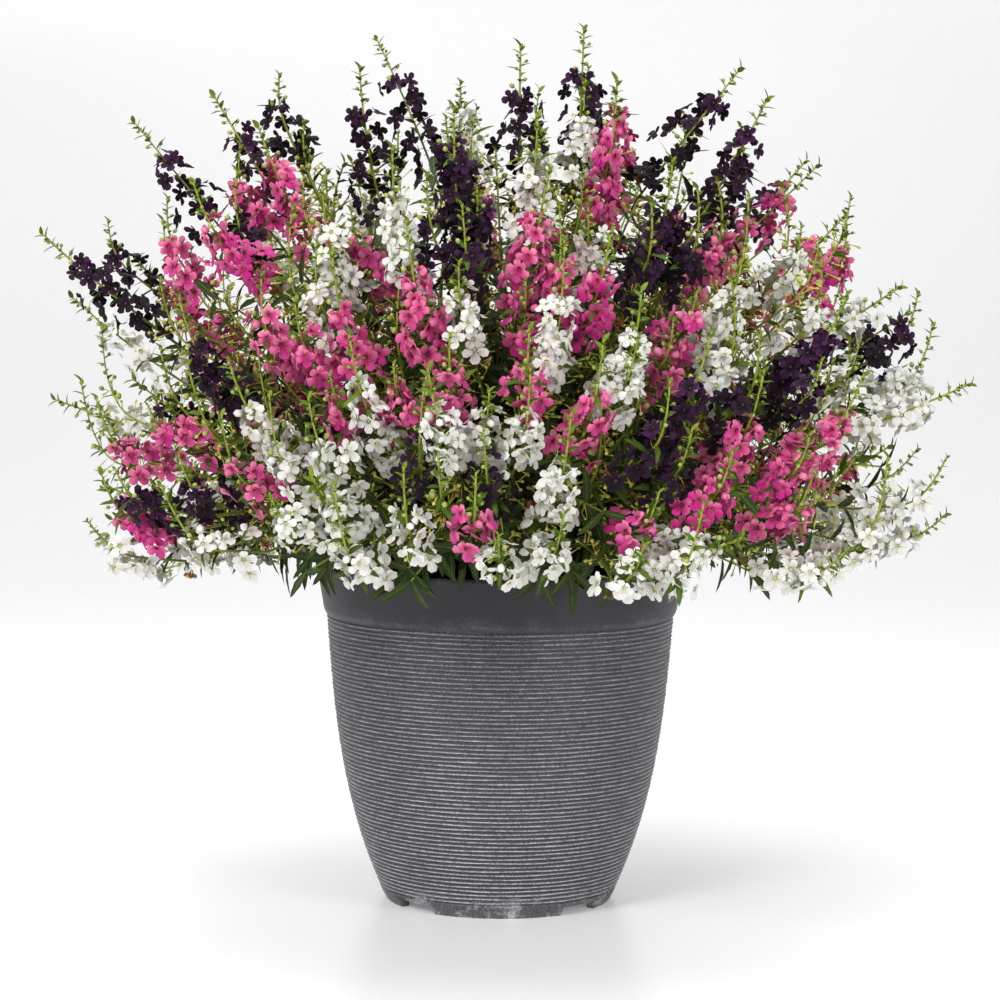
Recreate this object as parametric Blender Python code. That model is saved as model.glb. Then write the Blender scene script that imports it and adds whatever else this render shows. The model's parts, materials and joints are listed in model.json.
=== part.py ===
"""A potted angelonia: a ridged plastic pot, its soil and three plants, white, pink and dark purple.

Metres, +Z up. The origin is on the floor under the pot's axis, and the front looks along +Y.
"""

import math

import bpy
import numpy as np

# Pot
POT_HEIGHT = 0.285
POT_SIDES = 26
BASE_RADIUS = 0.0955
BODY_TOP = 0.242
BODY_TOP_RADIUS = 0.1466
STRAIGHT_SHARE = 0.45
RIDGES_FROM = 0.012
RIDGE_COUNT = 12
RIDGE_DEPTH = 0.0018
BAND_PROUD = 0.0022
RIM_RADIUS = 0.155
WALL = 0.004
FLOOR_UNDERSIDE = 0.009
FLOOR_TOP = 0.014
FOOT_WIDTH = 0.007
NOTCH_HEIGHT = 0.0065
NOTCH_WIDTH = 0.036
NOTCH_COUNT = 4
DRAIN_RADIUS = 0.006
DRAIN_RING = 0.055
INSIDE_HEIGHTS = (0.236, 0.1, 0.014)

# Soil and crowns
GAP = 0.0003
SOIL_TOP = 0.258
SOIL_DOME = 0.006
CROWN_RADIUS = 0.018
CROWN_DEPTH = 0.035
CROWN_RISE = 0.014
CROWN_SIDES = 6
CROWN_RING = 0.048
CROWN_TURN = {"white": -75, "pink": 45, "purple": 165}
ROOT_SPREAD = 0.0125
ROOT_SPACING = 0.0045
ROOT_RISE = 0.009

# Shoots
STEM_RADIUS = 0.0019
SHOOT_RADIUS = 0.0014
STEM_SIDES = 3
BORE_ROOM = 0.0008
STEM_BEND = 0.5
STEM_KNOTS = (0.0, 0.5, 1.0)
STRAIGHT_FOOT = 0.010
RACEME_LENGTH = 0.150
GREEN_TIP = 0.040
BUD_RADIUS = 0.0048

# Florets, larger and fewer than on the living plant
CORE_RADIUS = 0.0048
CORE_SIDES = 3
FLORETS = 4
FLORET_RADIUS = 0.0195
FLORET_STAND = 0.0115
NOTCH_SHARE = 0.56
LOBES = 5
LOBE_DROOP = 0.0045

# Leaves
LEAF_LENGTH = 0.046
LEAF_WIDTH = 0.0125
LEAF_THICKNESS = 0.0032
LEAF_TEETH = 2
LEAF_FOOT = 0.0005
LEAVES_ON_STEM = 1
GOLDEN_ANGLE = math.radians(137.508)

# Dome of flowers
FOCUS = np.array((0.0, 0.0, 0.265))
DOME = np.array((0.41, 0.37, 0.47))
VIEW_TILT = math.radians(10)
EDGE_DEPTHS = (-0.03, 0.085, -0.105, 0.03, -0.07, 0.12, 0.0)
TWIN_SPACING = 0.046
TWIN_RISE = 0.022
TWIN_REACH = 0.058
FLOWER_REACH = 0.0225
TIP_REACH = 0.008
STEM_REACH = 0.003
CLEARANCE = 0.0015
SETTLE_ROUNDS = 240
SEED = 11

# Each row is a node's racemes as seen in the photograph: their colour, then how far right of the
# pot's axis and above its rim each one stands, in millimetres, its tip at the edge of the dome or
# its middle on the dome's face.
EDGE_SPRAYS = (
    ("purple", (-246, 400), (-304, 367)),
    ("white", (-388, 217),),
    ("purple", (-386, 275),),
    ("white", (-390, 142),),
    ("purple", (-343, 58), (-262, 122)),
    ("pink", (-358, 26),),
    ("white", (-318, 10), (-262, 18)),
    ("purple", (-140, 421), (-92, 414)),
    ("white", (-37, 400),),
    ("purple", (14, 436), (66, 450)),
    ("pink", (106, 360),),
    ("purple", (213, 405), (162, 356)),
    ("purple", (262, 359),),
    ("pink", (294, 306), (230, 296)),
    ("white", (337, 250),),
    ("purple", (366, 222),),
    ("white", (390, 165),),
    ("pink", (350, 98), (300, 110)),
    ("white", (346, 56),),
    ("white", (275, 12),),
)
FACE_SPRAYS = (
    ("pink", (-171, 272), (-192, 197)),
    ("white", (-132, 210), (-75, 210)),
    ("pink", (-116, 142), (-58, 155)),
    ("pink", (68, 176), (18, 201)),
    ("white", (101, 126), (43, 138)),
    ("pink", (177, 63), (244, 67)),
    ("white", (-96, 75), (-37, 59)),
    ("purple", (-37, 268),),
    ("white", (22, 268),),
    ("purple", (118, 235),),
    ("white", (168, 172),),
    ("purple", (235, 145),),
    ("purple", (-225, 126),),
    ("white", (-179, 75),),
    ("white", (139, -8),),
    ("pink", (80, 293),),
    ("pink", (64, 75),),
    ("purple", (127, 92),),
    ("white", (-118, 11),),
    ("white", (43, 21),),
)
BACK_SPRAYS = 15
BACK_PLACES = 400
BACK_DOME = 0.96
TIPS_APART = 0.075
TIP_BEYOND = 1.2
COLOURS = ("white", "pink", "purple")
MATERIALS = {
    "white": ((0.86, 0.87, 0.80), 0.55),
    "pink": ((0.80, 0.06, 0.28), 0.5),
    "purple": ((0.035, 0.008, 0.035), 0.6),
    "green": ((0.10, 0.22, 0.03), 0.5),
    "plastic": ((0.085, 0.085, 0.095), 0.55),
    "soil": ((0.045, 0.028, 0.018), 0.95),
}


def clear_scene():
    """Removes every object of the scene."""
    for thing in list(bpy.data.objects):
        bpy.data.objects.remove(thing)


def make_material(name):
    """A Principled material in one of the object's plain colours."""
    colour, roughness = MATERIALS[name]
    material = bpy.data.materials.new(name)
    material.use_nodes = True
    shader = material.node_tree.nodes["Principled BSDF"]
    shader.inputs["Base Color"].default_value = (*colour, 1)
    shader.inputs["Roughness"].default_value = roughness
    return material


def make_object(name, points, faces, material=None):
    """A closed triangle mesh as an object of the scene, its faces turned outwards."""
    points = np.asarray(points, float)
    faces = np.asarray(faces, int)
    if np.linalg.det(points[faces]).sum() < 0:
        faces = faces[:, ::-1]
    mesh = bpy.data.meshes.new(name)
    mesh.from_pydata(points.tolist(), [], faces.tolist())
    mesh.update()
    if material:
        mesh.materials.append(material)
    thing = bpy.data.objects.new(name, mesh)
    bpy.context.scene.collection.objects.link(thing)
    return thing


def combine(thing, others, operation):
    """Joins others to thing, or cuts them from it, and applies the result."""
    if not others:
        return
    group = bpy.data.collections.new("operands")
    bpy.context.scene.collection.children.link(group)
    for other in others:
        bpy.context.scene.collection.objects.unlink(other)
        group.objects.link(other)
    modifier = thing.modifiers.new(operation, "BOOLEAN")
    modifier.operand_type = "COLLECTION"
    modifier.collection = group
    modifier.operation = operation
    modifier.solver = "MANIFOLD"
    bpy.context.view_layer.update()
    result = thing.evaluated_get(bpy.context.evaluated_depsgraph_get())
    applied = bpy.data.meshes.new_from_object(result)
    thing.modifiers.clear()
    thing.data = applied
    for other in others:
        bpy.data.objects.remove(other)
    bpy.data.collections.remove(group)


def unit(vectors):
    """Vectors of length one."""
    vectors = np.asarray(vectors, float)
    return vectors / np.linalg.norm(vectors, axis=-1, keepdims=True)


def lathe(profile, sides):
    """A closed solid of revolution from (radius, height) points that go once round its section."""
    profile = np.asarray(profile, float)
    turn = np.arange(sides) * 2 * math.pi / sides
    rings = np.stack(
        [
            profile[:, None, 0] * np.cos(turn),
            profile[:, None, 0] * np.sin(turn),
            np.repeat(profile[:, None, 1], sides, 1),
        ],
        -1,
    )
    points = list(rings.reshape(-1, 3))
    faces = []
    for i in range(len(profile) - 1):
        for j in range(sides):
            a, b = i * sides + j, i * sides + (j + 1) % sides
            faces += [(a, b, b + sides), (a, b + sides, a + sides)]
    for i, flip in ((0, -1), (len(profile) - 1, 1)):
        centre = len(points)
        points.append(np.array((0, 0, profile[i, 1])))
        for j in range(sides):
            face = (i * sides + j, i * sides + (j + 1) % sides, centre)
            faces.append(face[::flip])
    return np.array(points), np.array(faces)


def body_radius(height):
    """The pot's outer radius: part straight taper, part a curve that tucks in at the foot."""
    share = np.clip(height / BODY_TOP, 0, 1)
    curve = STRAIGHT_SHARE * share + (1 - STRAIGHT_SHARE) * (1 - (1 - share) ** 3)
    return BASE_RADIUS + (BODY_TOP_RADIUS - BASE_RADIUS) * curve


def pot_outside():
    """The outer profile from the foot up to the rim, with its turned ridges."""
    profile = [(BASE_RADIUS, 0.0), (body_radius(RIDGES_FROM), RIDGES_FROM)]
    pitch = (BODY_TOP - RIDGES_FROM) / RIDGE_COUNT
    for i in range(RIDGE_COUNT):
        groove = RIDGES_FROM + (i + 0.3) * pitch
        crest = RIDGES_FROM + (i + 0.75) * pitch
        profile.append((body_radius(groove) - RIDGE_DEPTH, groove))
        profile.append((body_radius(crest), crest))
    profile.append((BODY_TOP_RADIUS - RIDGE_DEPTH, BODY_TOP))
    profile.append((BODY_TOP_RADIUS + BAND_PROUD, BODY_TOP + 0.001))
    profile.append((RIM_RADIUS, POT_HEIGHT - 0.003))
    profile.append((RIM_RADIUS - 0.002, POT_HEIGHT))
    return profile


def inner_radius(height):
    """The radius of the pot's smooth inside."""
    return body_radius(height) - WALL


def pot_inside():
    """The inner profile from the rim down to the floor."""
    profile = [(RIM_RADIUS - 0.0065, POT_HEIGHT), (inner_radius(BODY_TOP) + 0.0015, BODY_TOP + 0.004)]
    profile += [(inner_radius(height), height) for height in INSIDE_HEIGHTS]
    return profile


def make_pot(material):
    """The pot: a turned shell on a foot ring, with drainage gaps in the foot and holes in the floor."""
    points, faces = lathe(pot_outside() + pot_inside(), POT_SIDES)
    pot = make_object("pot", points, faces, material)
    hollow, hollow_faces = lathe(
        [(BASE_RADIUS - FOOT_WIDTH, -0.01), (BASE_RADIUS - FOOT_WIDTH, FLOOR_UNDERSIDE)], POT_SIDES
    )
    cutters = [make_object("under_floor", hollow, hollow_faces)]
    for i in range(NOTCH_COUNT):
        turn = (i + 0.5) * 2 * math.pi / NOTCH_COUNT
        out = np.array((math.cos(turn), math.sin(turn), 0))
        side = np.array((-math.sin(turn), math.cos(turn), 0))
        cutters.append(
            block("notch", out * BASE_RADIUS, out * 0.03, side * NOTCH_WIDTH / 2, NOTCH_HEIGHT)
        )
        hole, hole_faces = lathe(
            [(DRAIN_RADIUS, FLOOR_UNDERSIDE - 0.004), (DRAIN_RADIUS, FLOOR_TOP + 0.004)], 6
        )
        hole[:, :2] += out[:2] * DRAIN_RING
        cutters.append(make_object("drain", hole, hole_faces))
    combine(pot, cutters, "DIFFERENCE")
    return pot


def block(name, centre, out, side, height):
    """A box cutter that stands from under the floor up to a height."""
    corners = [
        centre + x * out + y * side + np.array((0, 0, z))
        for z in (-0.01, height)
        for x, y in ((-1, -1), (1, -1), (1, 1), (-1, 1))
    ]
    faces = [(0, 2, 1), (0, 3, 2), (4, 5, 6), (4, 6, 7)]
    for i in range(4):
        j = (i + 1) % 4
        faces += [(i, j, j + 4), (i, j + 4, i + 4)]
    return make_object(name, corners, faces)


def crown_place(colour):
    """Where a plant's crown stands on the soil."""
    turn = math.radians(CROWN_TURN[colour])
    return np.array((CROWN_RING * math.cos(turn), CROWN_RING * math.sin(turn), SOIL_TOP))


def make_soil(material):
    """The soil: it fills the pot, is a little domed, and has one plain hole for each crown."""
    profile = [(inner_radius(h) - GAP * 1.5, h + GAP) for h in INSIDE_HEIGHTS[::-1]]
    profile.append((inner_radius(BODY_TOP) - 0.0005, SOIL_TOP - 0.006))
    profile.append((CROWN_RING * 2, SOIL_TOP))
    points, faces = lathe(profile, POT_SIDES)
    points[-1, 2] += SOIL_DOME
    soil = make_object("potting_soil", points, faces, material)
    cutters = []
    for colour in COLOURS:
        hole, hole_faces = lathe(
            [
                (CROWN_RADIUS * 0.55 + GAP * 2, -CROWN_DEPTH - GAP),
                (CROWN_RADIUS + GAP * 2, CROWN_RISE * 0.6),
                (CROWN_RADIUS + GAP * 2, CROWN_RISE * 2),
            ],
            CROWN_SIDES,
        )
        cutters.append(make_object("crown_hole", hole + crown_place(colour), hole_faces))
    combine(soil, cutters, "DIFFERENCE")
    return soil


def on_dome(across, up):
    """The tip on the dome of the raceme whose middle is seen so far across and above the rim."""
    level = FOCUS[2] - POT_HEIGHT
    across, up = across * TIP_BEYOND, level + (up - level) * TIP_BEYOND
    depth = 0.0
    for _ in range(6):
        height = POT_HEIGHT + up + depth * math.tan(VIEW_TILT)
        inside = 1 - (across / DOME[0]) ** 2 - ((height - FOCUS[2]) / DOME[2]) ** 2
        depth = DOME[1] * math.sqrt(max(inside, 0.02))
    return np.array((across, -depth, height))


def back_places():
    """Places spread evenly over the back of the dome, by golden angle."""
    level = np.linspace(0.97, 0.04, BACK_PLACES)
    turn = GOLDEN_ANGLE * np.arange(BACK_PLACES)
    flat = np.sqrt(1 - level**2)
    places = FOCUS + BACK_DOME * DOME * np.stack([flat * np.cos(turn), flat * np.sin(turn), level], -1)
    return places[places[:, 1] > 0]


def plan_sprays():
    """Each spray as (colour, tips): those at the edge, those in front, and those behind.

    Each one behind stands in the middle of the widest gap that is left there.
    """
    sprays = []
    for i, (colour, *tips) in enumerate(EDGE_SPRAYS):
        depth = EDGE_DEPTHS[i % len(EDGE_DEPTHS)]
        placed = [np.array((x / 1000, depth, POT_HEIGHT + up / 1000)) for x, up in tips]
        sprays.append((colour, placed))
    front = [
        (colour, [on_dome(x / 1000, up / 1000) for x, up in tips])
        for colour, *tips in FACE_SPRAYS
    ]
    sprays += front
    places = back_places()
    for colour, tips in front[:BACK_SPRAYS]:
        other = COLOURS[(COLOURS.index(colour) + 1) % 3]
        taken = np.vstack([tip for _, placed in sprays for tip in placed])
        tip = places[np.linalg.norm(places[:, None] - taken, axis=-1).min(1).argmax()]
        beside = unit(np.cross(tip - FOCUS, (0, 0, 1))) * TIPS_APART
        sprays.append((other, [tip, tip + beside][: len(tips)]))
    return sprays


class Growth:
    """The course of every shoot: a stem that bends from its crown into a straight raceme.

    The movable points are the foot and the tip of each raceme and a shift of each stem's knot. Every
    sample point is a weighted sum of them, so that a push on a sample is shared by the same weights.
    """

    RACEME_SAMPLES = np.linspace(0, 1, 9)
    STEM_SAMPLES = np.linspace(0.02, 0.98, 42)

    def __init__(self, sprays):
        self.colours = [colour for colour, _ in sprays]
        self.racemes = []
        self.movable = []
        for colour, tips in sprays:
            rows = []
            for k, tip in enumerate(tips):
                way = unit(tip - FOCUS)
                foot = tip - way * RACEME_LENGTH
                if k:
                    apart = foot - self.movable[rows[0]]
                    apart = apart - way * (apart @ way)
                    foot = self.movable[rows[0]] + unit(apart) * TWIN_SPACING + way * TWIN_RISE
                    tip = foot + unit(tip - foot) * RACEME_LENGTH
                rows.append(len(self.movable))
                self.movable += [foot, tip]
            self.racemes.append(rows)
        self.shift = len(self.movable) + np.arange(len(sprays))
        self.movable = np.array(self.movable + [np.zeros(3)] * len(sprays))
        feet = self.movable[[rows[0] for rows in self.racemes]]
        self.spread_roots(feet)
        self.bend = STEM_BEND * np.linalg.norm(feet - self.roots, axis=1) / RACEME_LENGTH
        self.list_samples()

    def spread_roots(self, feet):
        """Spaces the stems over the top of their crown, each on the side that it leans to."""
        crowns = np.array([crown_place(colour) for colour in self.colours])
        lean = (feet - crowns)[:, :2]
        offset = lean / np.linalg.norm(lean, axis=1).max() * ROOT_SPREAD
        same = np.array(self.colours)[:, None] == np.array(self.colours)[None]
        for _ in range(200):
            gap = offset[:, None] - offset[None]
            distance = np.linalg.norm(gap, axis=-1) + 1e-9
            close = np.where(same, np.maximum(ROOT_SPACING - distance, 0), 0)
            offset += (gap / distance[..., None] * close[..., None]).sum(1) * 0.4
            offset *= np.minimum(1, ROOT_SPREAD / np.linalg.norm(offset, axis=1))[:, None]
        self.roots = crowns + (0, 0, ROOT_RISE)
        self.roots[:, :2] += offset

    def list_samples(self):
        """Lists sample points along every raceme and stem, as weights of the movable points."""
        rows, base, reach, owner, plant, share_of = [], [], [], [], [], []
        count = len(self.movable)
        for s, feet in enumerate(self.racemes):
            for foot in feet:
                for share in self.RACEME_SAMPLES:
                    row = np.zeros(count)
                    row[foot], row[foot + 1] = 1 - share, share
                    rows.append(row)
                    base.append(np.zeros(3))
                    reach.append(FLOWER_REACH if share < 0.8 else TIP_REACH)
                    owner.append(foot)
                    plant.append(-1 - s)
                    share_of.append(share)
            foot = feet[0]
            for share in self.STEM_SAMPLES:
                row = np.zeros(count)
                root, row[foot], row[foot + 1], row[self.shift[s]] = self.stem_weights(s, share)
                rows.append(row)
                base.append(self.roots[s] * root)
                reach.append(STEM_REACH)
                owner.append(foot)
                plant.append(COLOURS.index(self.colours[s]))
                share_of.append(share)
        self.weights = np.array(rows)
        self.base = np.array(base)
        self.reach = np.array(reach)
        self.owner = np.array(owner)
        self.plant = np.array(plant)
        self.share = np.array(share_of)

    def samples(self):
        return self.weights @ self.movable + self.base

    def near_pairs(self, here):
        """Pairs of samples that could come to touch, leaving out those that may cross."""
        gap = np.linalg.norm(here[:, None] - here[None], axis=-1)
        need = self.reach[:, None] + self.reach[None]
        near = (gap < need + 0.03) & (self.owner[:, None] != self.owner[None])
        first, second = np.nonzero(np.triu(near))
        need = self.reach[first] + self.reach[second] + CLEARANCE
        sisters = (self.plant[first] >= 0) & (self.plant[first] == self.plant[second])
        return first, second, np.where(sisters, ROOT_SPACING, need)

    def settle(self):
        """Moves neighbouring shoots apart until their flowers and stems clear each other and the pot."""
        total = np.abs(self.weights).sum(0)
        for i in range(SETTLE_ROUNDS):
            here = self.samples()
            if i % 10 == 0:
                first, second, need = self.near_pairs(here)
            gap = here[first] - here[second]
            distance = np.linalg.norm(gap, axis=1) + 1e-9
            overlap = np.maximum(need - distance, 0)
            push = np.zeros_like(here)
            step = gap / distance[:, None] * overlap[:, None]
            np.add.at(push, first, step)
            np.add.at(push, second, -step)
            push += self.lift(here)
            if i % 10 == 0 and (overlap < CLEARANCE).all():
                break
            self.movable += (self.weights.T @ push) / total[:, None] * 1.5
            self.keep_lengths()
        return int((overlap > CLEARANCE).sum())

    def keep_lengths(self):
        """Gives every raceme its length again, and keeps each second one near its twin."""
        for rows in self.racemes:
            main, _, way = self.axis(rows[0])
            self.movable[rows[0]] = main = self.movable[rows[0] + 1] - way * RACEME_LENGTH
            for foot in rows[1:]:
                _, _, way = self.axis(foot)
                apart = self.movable[foot] - main
                far = np.linalg.norm(apart)
                self.movable[foot] = main + apart * min(1, TWIN_REACH / far)
                self.movable[foot + 1] = self.movable[foot] + way * RACEME_LENGTH

    def lift(self, here):
        """Lifts what would touch the pot's rim or lie in the soil."""
        out = np.linalg.norm(here[:, :2], axis=1)
        floor = np.where(out < RIM_RADIUS + 0.02, POT_HEIGHT + 0.003, 0.1)
        floor = np.where(out < RIM_RADIUS - 0.03, SOIL_TOP + 0.006 + 0.02 * out / 0.12, floor)
        lift = np.maximum(floor + self.reach - here[:, 2], 0)
        rooted = (self.plant >= 0) & (self.share < 0.15)
        return np.where(rooted, 0, lift)[:, None] * (0, 0, 1.5)

    def axis(self, foot):
        """A raceme's foot, its tip and its direction."""
        start, tip = self.movable[foot], self.movable[foot + 1]
        return start, tip, unit(tip - start)

    def towards_twin(self, s, k):
        """The way from a raceme to its twin in the spray, or any way if it has none."""
        rows = self.racemes[s]
        if len(rows) == 1:
            return np.array((0.31, 0.47, -0.83))
        return self.movable[rows[1 - k]] - self.movable[rows[k]]

    def stem_weights(self, s, share):
        """The weights of root, foot, tip and knot shift at a share of a stem.

        The stem is drawn straight between knots on a parabola that ends along its raceme's axis.
        """
        place = share * (len(STEM_KNOTS) - 1)
        k = min(int(place), len(STEM_KNOTS) - 2)
        t = np.array((STEM_KNOTS[k], STEM_KNOTS[k + 1]))
        from_root, from_bend, from_end = (1 - t) ** 2, 2 * t * (1 - t), t**2
        straight = STRAIGHT_FOOT / RACEME_LENGTH
        behind = from_bend * self.bend[s] + from_end * straight
        shifted = (t > 0) & (t < 1)
        knots = np.array((from_root, from_bend + from_end + behind, -behind, shifted))
        return knots @ (1 - place + k, place - k)

    def stem(self, s, shares):
        """Points along a stem."""
        start, tip, _ = self.axis(self.racemes[s][0])
        weights = np.array([self.stem_weights(s, share) for share in shares])
        return weights @ np.array((self.roots[s], start, tip, self.movable[self.shift[s]]))


def frame_along(line, towards):
    """Two directions square to a line and to each other at each point, kept from twisting.

    The first points towards something at the line's end, so that all tubes that share a raceme's
    axis are turned alike.
    """
    line = np.asarray(line, float)
    steps = unit(np.diff(line, axis=0))
    along = unit(np.vstack([steps[:1], steps[1:] + steps[:-1], steps[-1:]]))
    side = np.asarray(towards, float)
    sides = []
    for direction in along[::-1]:
        side = unit(side - direction * (side @ direction))
        sides.append(side)
    sides = np.array(sides[::-1])
    return sides, np.cross(along, sides)


def tube(line, radii, sides, towards, pointed=False):
    """A closed tube of few sides along a line, its last point an apex if it is pointed."""
    line, radii = np.asarray(line, float), np.asarray(radii, float)
    u, v = frame_along(line, towards)
    turn = np.arange(sides) * 2 * math.pi / sides
    rings = line[:, None] + radii[:, None, None] * (
        u[:, None] * np.cos(turn)[:, None] + v[:, None] * np.sin(turn)[:, None]
    )
    count = len(line) - (1 if pointed else 0)
    points = list(rings[:count].reshape(-1, 3))
    faces = [tuple(range(sides))[::-1]]
    for i in range(count - 1):
        for j in range(sides):
            a, b = i * sides + j, i * sides + (j + 1) % sides
            faces += [(a, b, b + sides), (a, b + sides, a + sides)]
    last = (count - 1) * sides
    if pointed:
        points.append(line[-1])
        faces += [(last + j, last + (j + 1) % sides, len(points) - 1) for j in range(sides)]
    else:
        faces.append(tuple(last + j for j in range(sides)))
    return np.array(points), faces


def bridge(inner, inner_turn, outer, outer_turn):
    """Triangles between a small ring of points and a larger one round it, both in turning order."""
    faces = []
    i, j = 0, 0
    inner_turn = list(inner_turn) + [inner_turn[0] + 2 * math.pi]
    outer_turn = list(outer_turn) + [outer_turn[0] + 2 * math.pi]
    while i < len(inner) or j < len(outer):
        a, b = inner[i % len(inner)], outer[j % len(outer)]
        if j < len(outer) and (i == len(inner) or outer_turn[j + 1] <= inner_turn[i + 1]):
            faces.append((a, outer[(j + 1) % len(outer)], b))
            j += 1
        else:
            faces.append((a, inner[(i + 1) % len(inner)], b))
            i += 1
    return faces


def in_turning_order(indices, points, centre, u, v, start=None):
    """Indices and their turns about a centre, in rising order from the turn at or after start."""
    offset = points[indices] - centre
    turn = np.arctan2(offset @ v, offset @ u)
    if start is not None:
        turn = start + (turn - start) % (2 * math.pi)
    order = np.argsort(turn)
    return [indices[k] for k in order], turn[order]


def grow_floret(points, faces, chosen, axis, foot, size, turn):
    """Lets one triangle of a raceme's core grow out into a five-lobed flower."""
    root = list(faces[chosen])
    middle = np.mean([points[k] for k in root], 0)
    on_axis = foot + axis * ((middle - foot) @ axis)
    outward = unit(middle - on_axis)
    facing = unit(outward + 0.18 * axis)
    u = unit(axis - facing * (axis @ facing))
    v = np.cross(facing, u)
    centre = on_axis + outward * (CORE_RADIUS / 2 + FLORET_STAND * size)
    turns = turn + np.arange(2 * LOBES) * math.pi / LOBES
    is_lobe = np.arange(2 * LOBES) % 2 == 1
    radius = FLORET_RADIUS * size * np.where(is_lobe, 1.0, NOTCH_SHARE)
    outline = (
        centre
        + (radius * np.cos(turns))[:, None] * u
        + (radius * np.sin(turns))[:, None] * v
        - (is_lobe * LOBE_DROOP * size)[:, None] * facing
    )
    first = len(points)
    points += list(outline)
    known = np.array(points)
    inner, inner_turn = in_turning_order(root, known, middle, u, v)
    ring = list(range(first, first + 2 * LOBES))
    outer, outer_turn = in_turning_order(ring, known, centre, u, v, inner_turn[0])
    faces[chosen] = None
    faces += bridge(inner, inner_turn, outer, outer_turn)
    faces += [(ring[k - 1], ring[k], ring[(k + 1) % len(ring)]) for k in range(1, len(ring), 2)]
    faces += [(ring[0], ring[k], ring[k + 2]) for k in range(2, len(ring) - 2, 2)]


def raceme(start, way, link, towards, chance):
    """The florets of one raceme on a slim three-sided core, with a link from its twin if it has one."""
    length = RACEME_LENGTH - GREEN_TIP
    line = [start + way * length * share for share in np.linspace(0, 1, FLORETS + 1)]
    if link is None:
        line[0] = start - way * 0.004
    else:
        line.insert(0, link)
    radii = np.full(len(line), CORE_RADIUS)
    radii[-2:] = CORE_RADIUS * 0.9, CORE_RADIUS * 0.75
    points, faces = tube(line, radii, CORE_SIDES, towards)
    points = list(points)
    skipped = len(line) - 1 - FLORETS
    hand = chance.choice((1, 2))
    for level in range(FLORETS):
        side = (1 + hand * level) % CORE_SIDES
        chosen = 1 + 2 * ((level + skipped) * CORE_SIDES + side)
        size = 1.0 - 0.25 * level / (FLORETS - 1)
        grow_floret(points, faces, chosen, way, start, size, chance.uniform(0, math.pi))
    return np.array(points), [face for face in faces if face is not None]


def make_spray(name, growth, s, material, chance):
    """The flowers of one or two racemes, bored through for the green shoots that carry them."""
    solids, cutters = [], []
    main, _, _ = growth.axis(growth.racemes[s][0])
    for k, foot in enumerate(growth.racemes[s]):
        start, tip, way = growth.axis(foot)
        towards = growth.towards_twin(s, k)
        points, faces = raceme(start, way, main if k else None, towards, chance)
        solids.append(make_object(name, points, faces, material))
        line = [start - way * 0.008, tip]
        if k:
            line = [main - unit(start - main) * 0.0015, start, tip]
        radii = [SHOOT_RADIUS + BORE_ROOM] * len(line)
        points, faces = tube(line, radii, STEM_SIDES, towards)
        cutters.append(make_object("bore", points, faces))
    combine(solids[0], solids[1:], "UNION")
    combine(solids[0], cutters, "DIFFERENCE")
    return solids[0]


def budded_end(start, tip, way):
    """The last points of a shoot and their radii: past the flowers, round its buds, to its tip."""
    flowers_to = start + way * (RACEME_LENGTH - GREEN_TIP + 0.001)
    bud = tip - way * GREEN_TIP * 0.55
    return [flowers_to, bud, tip], [SHOOT_RADIUS, BUD_RADIUS, 0]


def leaf(base, along, up, length):
    """A lance leaf: a keeled blade whose outline steps in and out at each tooth."""
    along = unit(along)
    side = unit(np.cross(along, up))
    over = np.cross(side, along)
    steps = np.linspace(0.22, 1, 2 * LEAF_TEETH + 1)[:-1]
    width = LEAF_WIDTH / 2 * np.sin(np.pi * steps**0.75) ** 0.8
    width = width * np.where(np.arange(len(steps)) % 2, 0.72, 1.12)
    edge = [base + along * length * t + side * w for t, w in zip(steps, width)]
    other = [base + along * length * t - side * w for t, w in zip(steps, width)]
    tip = base + along * length - over * length * 0.14
    outline = [base] + edge + [tip] + other[::-1]
    middle = base + along * length * 0.28 + over * length * 0.03
    points = outline + [middle + over * LEAF_THICKNESS / 2, middle - over * LEAF_THICKNESS / 2]
    count = len(outline)
    faces = []
    for i in range(count):
        j = (i + 1) % count
        faces += [(i, j, count), (j, i, count + 1)]
    return np.array(points), np.array(faces)


def plan_leaves(growth):
    """Leaves by golden angle up each stem, kept wherever they clear flowers, plants, pot and soil."""
    here = growth.samples()
    planned, placed, owners = [], [], []
    for s, colour in enumerate(growth.colours):
        shares = np.linspace(0.4, 0.97, 5 * LEAVES_ON_STEM)
        line = growth.stem(s, shares)
        u, v = frame_along(line, (0.3, 0.2, 1.0))
        forward = unit(np.gradient(line, axis=0))
        mine = growth.plant == COLOURS.index(colour)
        need = np.where(growth.plant < 0, growth.reach + 0.006, np.where(mine, 0, 0.012))
        kept, last = 0, -2
        for i in range(len(shares)):
            if kept == LEAVES_ON_STEM or i < last + 2:
                continue
            turn = GOLDEN_ANGLE * (i + 3 * s)
            along = unit(math.cos(turn) * u[i] + math.sin(turn) * v[i] + 0.7 * forward[i])
            length = LEAF_LENGTH * (0.85 + 0.3 * ((i * 7 + s * 3) % 5) / 4)
            blade = line[i] + along * length * np.linspace(0.2, 1, 6)[:, None]
            if (np.linalg.norm(blade[:, None] - here[None], axis=-1).min(0) < need).any():
                continue
            if placed:
                room = np.where(np.array(owners) == colour, 0.010, 0.017)
                others = np.linalg.norm(blade[:, None, None] - np.array(placed)[None], axis=-1)
                if (others.min((0, 2)) < room).any():
                    continue
            out = np.linalg.norm(blade[:, :2], axis=1)
            if ((out < RIM_RADIUS + 0.012) & (blade[:, 2] < POT_HEIGHT + 0.008)).any():
                continue
            kept += 1
            last = i
            planned.append((colour, line[i] - along * LEAF_FOOT, along, forward[i], length))
            placed.append(blade)
            owners.append(colour)
    return planned


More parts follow.
